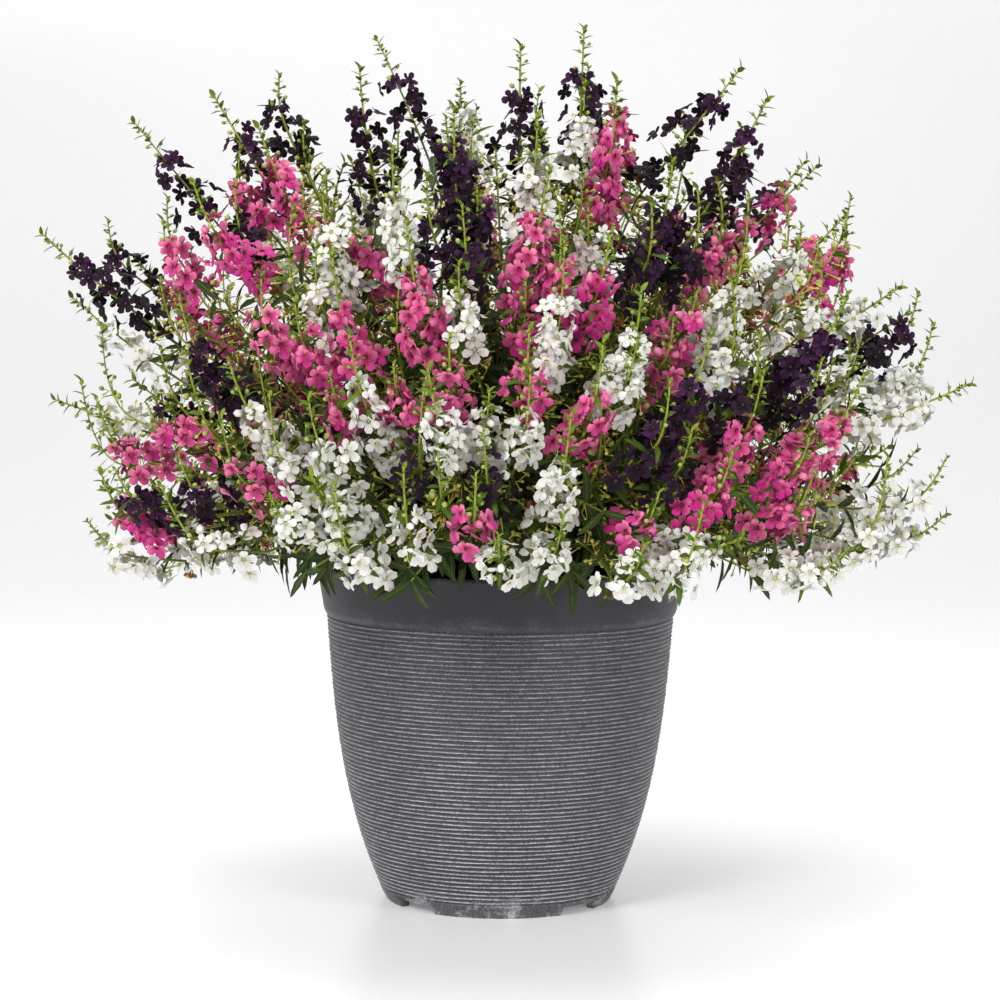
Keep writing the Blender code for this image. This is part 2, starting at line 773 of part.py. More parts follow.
def make_plant(colour, growth, leaves, material):
    """One plant's green parts: crown, stems, leaves and the shoots through its flowers."""
    crown, crown_faces = lathe(
        [
            (CROWN_RADIUS * 0.55, -CROWN_DEPTH),
            (CROWN_RADIUS, CROWN_RISE * 0.6),
            (CROWN_RADIUS * 0.8, CROWN_RISE),
        ],
        CROWN_SIDES,
    )
    plant = make_object(f"{colour}_plant", crown + crown_place(colour), crown_faces, material)
    parts = []
    for s, feet in enumerate(growth.racemes):
        if growth.colours[s] != colour:
            continue
        start, tip, way = growth.axis(feet[0])
        end, end_radii = budded_end(start, tip, way)
        line = list(growth.stem(s, STEM_KNOTS)) + end
        radii = [STEM_RADIUS] * (len(STEM_KNOTS) - 1) + [SHOOT_RADIUS] + end_radii
        points, faces = tube(line, radii, STEM_SIDES, growth.towards_twin(s, 0), True)
        parts.append(make_object("stem", points, faces))
        for foot in feet[1:]:
            twin, tip, way = growth.axis(foot)
            end, end_radii = budded_end(twin, tip, way)
            radii = [SHOOT_RADIUS] * 2 + end_radii
            towards = growth.towards_twin(s, 1)
            points, faces = tube([start, twin] + end, radii, STEM_SIDES, towards, True)
            parts.append(make_object("shoot", points, faces))
    for leaf_colour, *place in leaves:
        if leaf_colour == colour:
            points, faces = leaf(*place)
            parts.append(make_object("leaf", points, faces))
    combine(plant, parts, "UNION")
    return plant


def main():
    clear_scene()
    materials = {name: make_material(name) for name in MATERIALS}
    make_pot(materials["plastic"])
    make_soil(materials["soil"])
    growth = Growth(plan_sprays())
    growth.settle()
    leaves = plan_leaves(growth)
    for colour in COLOURS:
        make_plant(colour, growth, leaves, materials["green"])
    chance = np.random.default_rng(SEED)
    count = dict.fromkeys(COLOURS, 0)
    for s in range(len(growth.racemes)):
        colour = growth.colours[s]
        count[colour] += 1
        make_spray(f"{colour}_spray_{count[colour]:02d}", growth, s, materials[colour], chance)


main()
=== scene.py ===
"""Potted angelonia: white, pink and dark purple plants in one ridged grey planter.

Metres, +Z up. The origin is on the floor under the pot's axis, and the plant's front faces -Y.
"""

import json
import math

import bpy
import numpy as np
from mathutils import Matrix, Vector

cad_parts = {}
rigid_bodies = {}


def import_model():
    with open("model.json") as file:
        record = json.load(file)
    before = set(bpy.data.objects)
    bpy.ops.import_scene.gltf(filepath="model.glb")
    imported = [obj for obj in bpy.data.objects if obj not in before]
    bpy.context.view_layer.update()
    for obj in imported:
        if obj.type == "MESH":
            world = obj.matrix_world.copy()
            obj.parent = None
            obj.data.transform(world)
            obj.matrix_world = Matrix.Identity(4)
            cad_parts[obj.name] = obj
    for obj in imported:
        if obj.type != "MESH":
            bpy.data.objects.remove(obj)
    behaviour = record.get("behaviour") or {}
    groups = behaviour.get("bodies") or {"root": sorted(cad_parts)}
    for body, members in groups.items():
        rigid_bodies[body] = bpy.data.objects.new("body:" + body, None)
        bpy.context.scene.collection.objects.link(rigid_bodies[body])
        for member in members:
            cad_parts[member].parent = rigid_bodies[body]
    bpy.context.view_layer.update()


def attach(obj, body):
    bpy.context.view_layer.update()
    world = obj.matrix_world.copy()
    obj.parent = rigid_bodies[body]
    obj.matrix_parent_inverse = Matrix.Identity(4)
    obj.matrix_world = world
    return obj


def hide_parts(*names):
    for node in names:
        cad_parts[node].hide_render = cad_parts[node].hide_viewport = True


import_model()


# Studio: a pale floor that sweeps up into the backdrop, soft boxes and the camera.
# The planter was photographed on a slightly glossy white floor under large soft lights, from a
# little above the rim and from far enough away that the pot's sides look nearly straight.

CAMERA_PLACE = (-0.0010, -2.4, 0.510)
CAMERA_DOWN, CAMERA_ROLL = math.radians(4.12), math.radians(0.48)
LENS, SENSOR_WIDTH = 102.7, 36
FLOOR_HALF_WIDTH, FLOOR_NEAR, FLOOR_FAR = 7.0, -7.0, 2.2
BEND_RADIUS, BEND_POINTS, BACKDROP_TOP = 1.2, 25, 5.0
FLOOR_GLOW, AIR_LIGHT = 0.18, 0.22

# Each light's name, its place, the point that it is aimed at, its width, height and watts.
SOFT_BOXES = (
    ("key_light", (-1.7, -2.4, 2.1), (0, 0, 0.4), 1.3, 1.6, 79),
    ("fill_light", (2.1, -2.2, 1.3), (0, 0, 0.35), 1.2, 1.6, 39),
    ("top_light", (0, 0.2, 2.6), (0, 0, 0.3), 2.0, 1.6, 37),
    ("backdrop_light", (0, 1.4, 3.4), (0, 3.2, 0.4), 4.0, 1.0, 10),
)


def mesh_from(name, points, faces, values=None, uv=None):
    """A mesh of points and face arrays, with a number for each point under each name in values.

    Every face array holds the corners of faces of one size; uv gives each point a place in the
    piece's own flat pattern.
    """
    mesh = bpy.data.meshes.new(name)
    corners = np.concatenate([part.ravel() for part in faces]).astype(np.int32)
    sizes = np.concatenate([np.full(len(part), part.shape[1]) for part in faces])
    mesh.vertices.add(len(points))
    mesh.loops.add(len(corners))
    mesh.polygons.add(len(sizes))
    mesh.vertices.foreach_set("co", np.asarray(points, np.float32).ravel())
    mesh.loops.foreach_set("vertex_index", corners)
    mesh.polygons.foreach_set("loop_start", (np.cumsum(sizes) - sizes).astype(np.int32))
    mesh.polygons.foreach_set("use_smooth", np.ones(len(sizes), bool))
    mesh.update(calc_edges=True)
    for key, numbers in (values or {}).items():
        layer = mesh.attributes.new(key, "FLOAT", "POINT")
        layer.data.foreach_set("value", np.asarray(numbers, np.float32))
    if uv is not None:
        layer = mesh.uv_layers.new(name="UVMap")
        layer.data.foreach_set("uv", np.asarray(uv, np.float32)[corners].ravel())
    return mesh


def make_piece(name, shape, material, slot=None, stands_for=()):
    """Makes a shape, as mesh_from takes it, a piece that rides on the pot in place of some nodes.

    The studio's own pieces have no slot and ride on nothing.
    """
    mesh = mesh_from(name, *shape)
    mesh.materials.append(material)
    piece = bpy.data.objects.new(name, mesh)
    bpy.context.scene.collection.objects.link(piece)
    if slot:
        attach(piece, "root")
        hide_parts(*stands_for)
    return piece


class Nodes:
    """Adds nodes to one shader tree; each method but add and shade returns an output socket."""

    def __init__(self, tree):
        self.tree = tree
        self.shader = tree.nodes.get("Principled BSDF")

    def add(self, kind, settings=None, **inputs):
        """A node with its settings, and each input, by name or as i and its number, given or linked."""
        node = self.tree.nodes.new(kind)
        for key, value in (settings or {}).items():
            setattr(node, key, value)
        for key, value in inputs.items():
            numbered = key[0] == "i" and key[1:].isdigit()
            socket = node.inputs[int(key[1:]) if numbered else key.replace("_", " ")]
            if isinstance(value, bpy.types.NodeSocket):
                self.tree.links.new(value, socket)
            else:
                socket.default_value = value
        return node

    def place(self):
        """The point in the object's own metres."""
        return self.add("ShaderNodeTexCoord").outputs["Object"]

    def number(self, name):
        """A number that the mesh holds for each point."""
        return self.add("ShaderNodeAttribute", {"attribute_name": name}).outputs["Fac"]

    def noise(self, place, scale, detail, roughness=0.5):
        """Soft noise between 0 and 1."""
        given = {"Vector": place, "Scale": scale, "Detail": detail, "Roughness": roughness}
        return self.add("ShaderNodeTexNoise", **given).outputs["Fac"]

    def ranged(self, value, start, end, low=0.0, high=1.0, smooth=False):
        """How far a value is from start to end, laid out between low and high."""
        settings = {"interpolation_type": "SMOOTHSTEP" if smooth else "LINEAR"}
        given = {"Value": value, "From_Min": start, "From_Max": end, "To_Min": low, "To_Max": high}
        return self.add("ShaderNodeMapRange", settings, **given).outputs[0]

    def mixed(self, factor, low, high, blend="MIX"):
        """The colour at a factor between two, each a socket or its red, green and blue."""
        low, high = (c if isinstance(c, bpy.types.NodeSocket) else (*c, 1) for c in (low, high))
        settings = {"data_type": "RGBA", "blend_type": blend}
        return self.add("ShaderNodeMix", settings, Factor=factor, i6=low, i7=high).outputs[2]

    def maths(self, operation, *numbers, clamp=False):
        """What a Math node makes of its numbers."""
        settings = {"operation": operation, "use_clamp": clamp}
        given = {f"i{k}": number for k, number in enumerate(numbers)}
        return self.add("ShaderNodeMath", settings, **given).outputs[0]

    def product(self, first, second, third=None, clamp=False):
        """Two or three numbers multiplied."""
        result = self.maths("MULTIPLY", first, second, clamp=clamp)
        return result if third is None else self.maths("MULTIPLY", result, third, clamp=clamp)

    def scaled(self, colour, light):
        """A colour made lighter or darker."""
        settings = {"operation": "SCALE"}
        return self.add("ShaderNodeVectorMath", settings, i0=colour, Scale=light).outputs[0]

    def shade(self, bump=None, **inputs):
        """Links the shader's inputs, and a bump given as (height, strength, distance)."""
        for key, socket in inputs.items():
            self.tree.links.new(socket, self.shader.inputs[key.replace("_", " ")])
        if bump:
            height, strength, distance = bump
            node = self.add("ShaderNodeBump", Height=height, Strength=strength, Distance=distance)
            self.tree.links.new(node.outputs[0], self.shader.inputs["Normal"])


def new_paint(name, **constants):
    """A Principled material with plain numbers on its sockets, and its nodes."""
    material = bpy.data.materials.new(name)
    material.use_nodes = True
    nodes = Nodes(material.node_tree)
    for key, value in constants.items():
        nodes.shader.inputs[key.replace("_", " ")].default_value = value
    return material, nodes


def quads_between(rows, columns, wrapped):
    """The quads of a grid of points laid out row by row, closed into a ring where wrapped."""
    across = np.arange(columns if wrapped else columns - 1)
    a = np.arange(rows - 1)[:, None] * columns + across
    b = np.arange(rows - 1)[:, None] * columns + (across + 1) % columns
    return np.stack([a, b, b + columns, a + columns], -1).reshape(-1, 4)


def floor_sweep():
    """The floor as a straight run, a quarter circle, then an upright wall."""
    turn = np.linspace(0, math.pi / 2, BEND_POINTS)
    bend = FLOOR_FAR + BEND_RADIUS * np.sin(turn)
    run = np.concatenate([[FLOOR_NEAR], bend, [FLOOR_FAR + BEND_RADIUS]])
    rise = np.concatenate([[0], BEND_RADIUS * (1 - np.cos(turn)), [BACKDROP_TOP]])
    across = np.array((-FLOOR_HALF_WIDTH, FLOOR_HALF_WIDTH))
    points = np.stack(np.broadcast_arrays(across[None], run[:, None], rise[:, None]), -1)
    return points.reshape(-1, 3), [quads_between(len(run), 2, False)]


floor_paint, nodes = new_paint(
    "floor_paint", Roughness=0.32, Specular_IOR_Level=0.35,
    Emission_Color=(1, 1, 1, 1), Emission_Strength=FLOOR_GLOW,
)
cloud = nodes.noise(nodes.place(), 1.5, 2.0)
behind = nodes.add("ShaderNodeNewGeometry").outputs["Backfacing"]
nodes.shade(
    Base_Color=nodes.mixed(cloud, (0.86, 0.86, 0.865), (0.90, 0.90, 0.90)),
    Alpha=nodes.maths("SUBTRACT", 1.0, behind),
)
floor = make_piece("studio_floor", floor_sweep(), floor_paint)

for name, place, aim, width, height, watts in SOFT_BOXES:
    light = bpy.data.lights.new(name, "AREA")
    light.shape = "RECTANGLE"
    light.size, light.size_y, light.energy = width, height, watts
    lamp = bpy.data.objects.new(name, light)
    bpy.context.scene.collection.objects.link(lamp)
    lamp.location = place
    lamp.rotation_euler = (Vector(aim) - lamp.location).to_track_quat("-Z", "Y").to_euler()

sky = bpy.data.worlds.new("studio_air")
sky.use_nodes = True
sky.node_tree.nodes["Background"].inputs["Color"].default_value = (1, 1, 1, 1)
sky.node_tree.nodes["Background"].inputs["Strength"].default_value = AIR_LIGHT
bpy.context.scene.world = sky
bpy.context.scene.view_settings.view_transform = "Standard"

camera_data = bpy.data.cameras.new("camera")
camera_data.lens = LENS
camera_data.sensor_width = SENSOR_WIDTH
camera = bpy.data.objects.new("camera", camera_data)
camera.location = CAMERA_PLACE
camera.rotation_euler = (math.pi / 2 - CAMERA_DOWN, 0, 0)
camera.rotation_euler.rotate_axis("Z", CAMERA_ROLL)
bpy.context.scene.collection.objects.link(camera)
bpy.context.scene.camera = camera


# The pot: one injection-moulded planter of dark grey plastic.
# Its body is turned with about sixty-four fine ribs whose crests are dry-brushed with a pale wash;
# the band under the rim is plain and painted darker as shade from the plants above, and four drainage
# gaps are cut in the foot ring under the floor.

POT_HEIGHT, RIM_RADIUS, WALL = 0.285, 0.155, 0.004
BASE_RADIUS, BODY_TOP, BODY_TOP_RADIUS, STRAIGHT_SHARE = 0.0955, 0.242, 0.1466, 0.36
POT_TURNS = 96
RIB_COUNT, RIBS_FROM, RIBS_TO, RIB_DEPTH = 64, 0.0118, 0.2405, 0.0011
RIB_SUNK, RIB_WASHED = np.array((1.0, 0.72, 0.0, 0.72)), np.array((0.0, 0.12, 1.0, 0.55))
RIB_WAVER = 0.00016
FOOT_WIDTH, FLOOR_UNDERSIDE, FLOOR_TOP = 0.007, 0.009, 0.014
NOTCH_HEIGHT, NOTCH_HALF_TURN, NOTCH_RAMP = 0.0062, math.radians(11.5), math.radians(0.8)
DRAIN_RADIUS, DRAIN_RING, DRAIN_SIDES, DRAIN_ENDS = 0.006, 0.055, 24, (0.002, 0.02)
SHARP_EDGE = math.radians(48)

# Outlines as (radius, height), and how worn the paint is at each point of the foot and the band.
UNDERSIDE = [(0.004, FLOOR_UNDERSIDE), (0.05, FLOOR_UNDERSIDE)]
UNDERSIDE += [(BASE_RADIUS - FOOT_WIDTH, h) for h in (FLOOR_UNDERSIDE, 0.0045, 0.0006)]
FOOT = [(BASE_RADIUS - FOOT_WIDTH + 0.0006, 0.0), (BASE_RADIUS - 0.0008, 0.0), (BASE_RADIUS, 0.0008)]
LOW_HEIGHTS, INSIDE_HEIGHTS = (0.004, 0.008, 0.0108), (0.236, 0.2, 0.15, 0.1, 0.06, 0.03, 0.0165)
BAND = [
    (BODY_TOP_RADIUS - 0.0012, 0.2408), (BODY_TOP_RADIUS + 0.0002, 0.2422),
    (BODY_TOP_RADIUS + 0.0019, 0.2452), (BODY_TOP_RADIUS + 0.0026, 0.2476),
    (0.1505, 0.256), (0.1524, 0.267), (0.1543, 0.278), (0.15485, 0.2815), (0.1547, 0.2836),
    (0.1539, 0.2847), (0.1526, 0.285), (0.1500, 0.2849), (0.1490, 0.2842), (0.1485, 0.282),
]
FOOT_WEAR, LOW_WEAR_ROWS = (0.5, 0.9, 1.0, 0.75, 0.55, 0.7), 12
BAND_WEAR = (0, 0.05, 0.15, 0.08, 0, 0, 0, 0.10, 0.2, 0.25, 0.25, 0.2, 0.1, 0)


def body_radius(height):
    """The outer radius: part straight taper, part a cubic that tucks the wall in at the foot."""
    share = np.clip(height / BODY_TOP, 0, 1)
    curve = STRAIGHT_SHARE * share + (1 - STRAIGHT_SHARE) * (1 - (1 - share) ** 3)
    return BASE_RADIUS + (BODY_TOP_RADIUS - BASE_RADIUS) * curve


def pot_turns():
    """Angles round the pot: evenly spaced, with two more at each side of each drainage gap."""
    even = np.arange(POT_TURNS) * 2 * math.pi / POT_TURNS
    sides = (NOTCH_HALF_TURN + NOTCH_RAMP * np.array((-0.5, 0.5)))[:, None] * np.array((-1, 1))
    gaps = (np.arange(4) + 0.5) * math.pi / 2
    return np.unique(np.concatenate([even, (gaps[:, None] + sides.ravel()).ravel()]))


def around(radius, turn, height):
    """Points at radii and heights, carried round to each turn."""
    return np.stack(np.broadcast_arrays(radius * np.cos(turn), radius * np.sin(turn), height), -1)


def closed_rings(rows, columns, flipped=False):
    """Faces of rings laid out row by row, with a fan at each end to a pole that follows the rings."""
    j = np.arange(columns)
    k = (j + 1) % columns
    last, pole = (rows - 1) * columns, np.full(columns, rows * columns)
    caps = [np.stack([k, j, pole], -1), np.stack([last + j, last + k, pole + 1], -1)]
    faces = [quads_between(rows, columns, True)] + caps
    return [part[:, ::-1] for part in faces] if flipped else faces


def cut_foot(radius, height, turn):
    """Lifts the lower edge of the foot over each drainage gap, and lets the ribs waver a little."""
    away = np.abs(turn % (math.pi / 2) - math.pi / 4)
    lift = NOTCH_HEIGHT * np.clip((NOTCH_HALF_TURN - away) / NOTCH_RAMP + 0.5, 0, 1)
    top = np.where(radius < BASE_RADIUS - FOOT_WIDTH / 2, FLOOR_UNDERSIDE, RIBS_FROM)
    low = (height < top) & (radius > BASE_RADIUS - FOOT_WIDTH * 1.2)
    lifted = np.where(low, lift + height * (1 - lift / top), height)
    ribs = (height > RIBS_FROM) & (height < RIBS_TO) & (radius > body_radius(height) - 0.002)
    waver = RIB_WAVER * (np.sin(7 * turn + height * 410) + np.sin(11 * turn - height * 633))
    return radius + np.where(ribs, waver * 0.7, 0), lifted + np.where(ribs, waver, 0)


def pot_shape():
    """The pot as rings carried once round, with the masks of its brushed crests and its wear.

    Each rib has four rows, the third of them its crest.
    """
    step = np.arange(RIB_COUNT * 4)
    height = RIBS_FROM + (RIBS_TO - RIBS_FROM) * step / len(step)
    radius = body_radius(height) - RIB_SUNK[step % 4] * RIB_DEPTH
    before = UNDERSIDE + FOOT + [(body_radius(h), h) for h in LOW_HEIGHTS]
    inside = [(BODY_TOP_RADIUS - 0.0020, 0.248)]
    inside += [(body_radius(h) - WALL, h) for h in INSIDE_HEIGHTS]
    inside += [(body_radius(0.014) - WALL - 0.003, FLOOR_TOP), (0.05, FLOOR_TOP), (0.004, FLOOR_TOP)]
    rows = np.array(before + list(zip(radius, height)) + BAND + inside)
    ribs, band = len(before), len(before) + len(step)
    crest, worn = np.zeros((2, len(rows)))
    crest[ribs:band] = RIB_WASHED[step % 4]
    worn[len(UNDERSIDE) : ribs] = FOOT_WEAR
    worn[ribs : ribs + LOW_WEAR_ROWS] = np.linspace(0.5, 0, LOW_WEAR_ROWS)
    worn[band : band + len(BAND)] = BAND_WEAR
    turn = pot_turns()
    grid = np.repeat(rows[:, :, None], len(turn), 2)
    out, up = cut_foot(grid[:, 0], grid[:, 1], turn)
    ring = around(out, turn, up)
    ends = np.array([(0, 0, rows[0, 1]), (0, 0, rows[-1, 1])])
    values = {
        key: np.append(np.repeat(mask, len(turn)), mask[[0, -1]])
        for key, mask in (("crest", crest), ("worn", worn))
    }
    points = np.vstack([ring.reshape(-1, 3), ends])
    return points, closed_rings(len(rows), len(turn)), values


def drain_rod(turn):
    """An upright rod where a drain hole goes."""
    angle = np.arange(DRAIN_SIDES) * 2 * math.pi / DRAIN_SIDES
    ends = np.array(DRAIN_ENDS)[:, None]
    rod = around(DRAIN_RADIUS, angle, ends) + DRAIN_RING * np.array((math.cos(turn), math.sin(turn), 0))
    corners = np.arange(2 * DRAIN_SIDES).reshape(2, 1, -1)
    faces = [quads_between(2, DRAIN_SIDES, True), corners[0, :, ::-1], corners[1]]
    return mesh_from("drain_rod", rod.reshape(-1, 3), faces)


pot_plastic, nodes = new_paint("pot_plastic", Specular_IOR_Level=0.42)
place = nodes.place()
low = nodes.noise(place, 9.0, 4.0, 0.6)
flat = nodes.add("ShaderNodeMapping", Vector=place, Scale=(1, 1, 11)).outputs[0]
streak = nodes.noise(flat, 70.0, 5.0, 0.7)
speck = nodes.noise(place, 820.0, 3.0, 0.7)
level = nodes.add("ShaderNodeSeparateXYZ", Vector=place).outputs["Z"]
wall_tone = nodes.mixed(low, (0.029, 0.027, 0.034), (0.046, 0.043, 0.053))
salted = nodes.mixed(nodes.ranged(speck, 0.52, 0.66, 0.0, 0.55), wall_tone, (0.20, 0.20, 0.21))
# Painted shade: the band under the rim is painted darker than the ribbed wall, as in the shadow of the
# plants above.
tone_with_band_shade = nodes.mixed(nodes.ranged(level, 0.241, 0.246), salted, (0.022, 0.020, 0.027))
broken = nodes.ranged(streak, 0.34, 0.60, 0.30, 1.0)
grains = nodes.ranged(speck, 0.42, 0.58, 0.22, 1.1)
ridge_line = nodes.ranged(nodes.number("crest"), 0.50, 0.95)
patchy = nodes.ranged(nodes.noise(place, 38.0, 6.0, 0.75), 0.50, 0.66, 0.10, 1.0)
washed = nodes.product(ridge_line, broken, grains)
scuffed = nodes.product(nodes.number("worn"), patchy, grains)
# The wash and scuffs are made up to 1.6 times stronger towards the foot, so the pot is lighter low down.
low_down = nodes.ranged(level, 0.02, 0.20, 1.6, 1.08)
wash = nodes.product(nodes.maths("MAXIMUM", washed, scuffed), low_down, clamp=True)
nodes.shade(
    bump=(speck, 0.18, 0.0004), Base_Color=nodes.mixed(wash, tone_with_band_shade, (0.56, 0.56, 0.59)),
    Roughness=nodes.ranged(low, 0.0, 1.0, 0.42, 0.6),
)

pot = make_piece("planter", pot_shape(), pot_plastic, "pot", ["pot"])
rods = bpy.data.collections.new("drain_rods")
bpy.context.scene.collection.children.link(rods)
for quarter in range(4):
    rod = bpy.data.objects.new("drain_rod", drain_rod((quarter + 0.5) * math.pi / 2))
    rods.objects.link(rod)
drill = pot.modifiers.new("drain_holes", "BOOLEAN")
drill.operand_type, drill.collection = "COLLECTION", rods
drill.operation, drill.solver = "DIFFERENCE", "MANIFOLD"
bpy.context.view_layer.update()
drilled = bpy.data.meshes.new_from_object(pot.evaluated_get(bpy.context.evaluated_depsgraph_get()))
pot.modifiers.clear()
pot.data = drilled
drilled.name = "planter"
drilled.set_sharp_from_angle(angle=SHARP_EDGE)
for rod in list(rods.objects):
    bpy.data.objects.remove(rod)
bpy.data.collections.remove(rods)


# The potting mix: peat and bark crumbs, pressed in round the crowns.
# It fills the pot to about 27 mm under the rim and is a little domed; it is loose and rough.

SOIL_TOP, SOIL_DOME, SOIL_UNDERSIDE = 0.258, 0.006, 0.0175
SOIL_GAP = 0.0005
SOIL_SIDE_HEIGHTS = np.array((0.248, 0.23, 0.15, 0.08, SOIL_UNDERSIDE))
CRUMB_TURNS, CRUMB_ROWS = 150, 46
CRUMBS, GRIT = (0.0016, 0.016), (0.0013, 0.006)


def ripple(points, size, seed, waves=28):
    """A smooth rough height between about -1 and 1: the mean of plane waves in random directions."""
    chance = np.random.default_rng(seed)
    ways = chance.normal(size=(waves, 3))
    ways *= (2 * math.pi / size * chance.uniform(0.6, 1.7, waves) / np.linalg.norm(ways, axis=1))[:, None]
    phase = chance.uniform(0, 2 * math.pi, waves)
    return np.sin(np.asarray(points) @ ways.T + phase).sum(-1) / math.sqrt(waves)


def soil_shape():
    """The mix as rings: its domed rough top out to the wall, then its side down to the underside."""
    share = np.linspace(0.02, 1, CRUMB_ROWS)[:, None]
    turn = np.arange(CRUMB_TURNS) * 2 * math.pi / CRUMB_TURNS
    edge = BODY_TOP_RADIUS - WALL - 0.0006
    top = around(share * edge, turn, SOIL_TOP - 0.004 + SOIL_DOME * (1 - share**2))
    rough = CRUMBS[0] * ripple(top, CRUMBS[1], 3) + GRIT[0] * ripple(top, GRIT[1], 4)
    top[..., 2] += np.clip(rough, -0.003, 0.004) * np.clip((1 - share) * 12, 0.15, 1)
    radius = body_radius(SOIL_SIDE_HEIGHTS) - WALL - SOIL_GAP
    radius[0] = edge
    side = around(radius[:, None], turn, SOIL_SIDE_HEIGHTS[:, None])
    poles = np.array([(0, 0, SOIL_TOP + 0.002), (0, 0, SOIL_UNDERSIDE)])
    points = np.vstack([top.reshape(-1, 3), side.reshape(-1, 3), poles])
    return points, closed_rings(CRUMB_ROWS + len(radius), CRUMB_TURNS, flipped=True)


potting_mix, nodes = new_paint("potting_mix", Roughness=0.95, Specular_IOR_Level=0.2)
place = nodes.place()
crumb = nodes.add("ShaderNodeTexVoronoi", Vector=place, Scale=260.0)
peat = nodes.noise(place, 120.0, 6.0, 0.7)
soil_tone = nodes.mixed(peat, (0.012, 0.008, 0.006), (0.085, 0.055, 0.035))
nodes.shade(
    bump=(crumb.outputs["Distance"], 0.8, 0.002),
    Base_Color=nodes.mixed(0.6, soil_tone, crumb.outputs["Color"], "MULTIPLY"),
)
make_piece("potting_mix", soil_shape(), potting_mix, "soil", ["potting_soil"])



# How the shoots grow: fifty-five flowering shoots that rise from three crowns in the soil.
# Each shoot's stem bends out of its crown into one or two straight racemes. Their places are those
# of the solid model: tips read off the photograph, then moved apart until they clear each other.

CROWN_RING, CROWN_RISE = 0.048, 0.014
CROWN_TURN = {"white": -75, "pink": 45, "purple": 165}
ROOT_SPREAD, ROOT_SPACING, ROOT_RISE = 0.0125, 0.0045, 0.009
ROOT_ROUNDS, ROOT_STEP = 200, 0.4
STEM_BEND, STEM_KNOTS, STRAIGHT_FOOT = 0.5, (0.0, 0.5, 1.0), 0.010
RACEME_LENGTH = 0.150
FOCUS = np.array((0.0, 0.0, 0.265))
DOME = np.array((0.41, 0.37, 0.47))
VIEW_TILT = math.radians(10)
EDGE_DEPTHS = (-0.03, 0.085, -0.105, 0.03, -0.07, 0.12, 0.0)
TWIN_SPACING, TWIN_RISE, TWIN_REACH = 0.046, 0.022, 0.058
FLOWER_REACH, TIP_REACH, STEM_REACH, CLEARANCE = 0.0225, 0.008, 0.003, 0.0015
GREEN_FROM, NEAR_MARGIN = 0.8, 0.03
SETTLE_ROUNDS, LIST_AGAIN, SETTLE_STEP, TIP_BEYOND = 240, 10, 1.5, 1.2
RACEME_SAMPLES, STEM_SAMPLES = np.linspace(0, 1, 9), np.linspace(0.02, 0.98, 42)
BACK_SPRAYS, BACK_PLACES, BACK_DOME, TIPS_APART = 15, 400, 0.96, 0.075
GOLDEN_ANGLE = math.radians(137.508)
COLOURS = ("white", "pink", "purple")
UP = np.array((0.0, 0.0, 1.0))

# Colour of each shoot, then how far right of the pot's axis and above its rim each of its racemes
# stands, in millimetres: its tip at the edge of the dome, or its middle on the dome's face.
EDGE_SHOOTS = (
    ("purple", (-246, 400), (-304, 367)), ("white", (-388, 217)), ("purple", (-386, 275)),
    ("white", (-390, 142)), ("purple", (-343, 58), (-262, 122)), ("pink", (-358, 26)),
    ("white", (-318, 10), (-262, 18)), ("purple", (-140, 421), (-92, 414)), ("white", (-37, 400)),
    ("purple", (14, 436), (66, 450)), ("pink", (106, 360)), ("purple", (213, 405), (162, 356)),
    ("purple", (262, 359)), ("pink", (294, 306), (230, 296)), ("white", (337, 250)),
    ("purple", (366, 222)), ("white", (390, 165)), ("pink", (350, 98), (300, 110)),
    ("white", (346, 56)), ("white", (275, 12)),
)
FACE_SHOOTS = (
    ("pink", (-171, 272), (-192, 197)), ("white", (-132, 210), (-75, 210)),
    ("pink", (-116, 142), (-58, 155)), ("pink", (68, 176), (18, 201)),
    ("white", (101, 126), (43, 138)), ("pink", (177, 63), (244, 67)),
    ("white", (-96, 75), (-37, 59)), ("purple", (-37, 268)), ("white", (22, 268)),
    ("purple", (118, 235)), ("white", (168, 172)), ("purple", (235, 145)),
    ("purple", (-225, 126)), ("white", (-179, 75)), ("white", (139, -8)), ("pink", (80, 293)),
    ("pink", (64, 75)), ("purple", (127, 92)), ("white", (-118, 11)), ("white", (43, 21)),
)


def unit(vectors):
    """Vectors of length one."""
    vectors = np.asarray(vectors, float)
    return vectors / np.linalg.norm(vectors, axis=-1, keepdims=True)


def crown_place(colour):
    """Where a plant's crown stands on the soil."""
    turn = math.radians(CROWN_TURN[colour])
    return np.array((CROWN_RING * math.cos(turn), CROWN_RING * math.sin(turn), SOIL_TOP))


def on_dome(across, up):
    """The tip on the dome of the raceme whose middle is seen so far across and above the rim."""
    level = FOCUS[2] - POT_HEIGHT
    across, up = across * TIP_BEYOND, level + (up - level) * TIP_BEYOND
    depth = 0.0
    for _ in range(6):
        height = POT_HEIGHT + up + depth * math.tan(VIEW_TILT)
        inside = 1 - (across / DOME[0]) ** 2 - ((height - FOCUS[2]) / DOME[2]) ** 2
        depth = DOME[1] * math.sqrt(max(inside, 0.02))
    return np.array((across, -depth, height))


def dome_ways(turn, level):
    """Directions at a turn round the upright and at a level, the share of them that is upwards."""
    return around(np.sqrt(1 - level**2), turn, level)


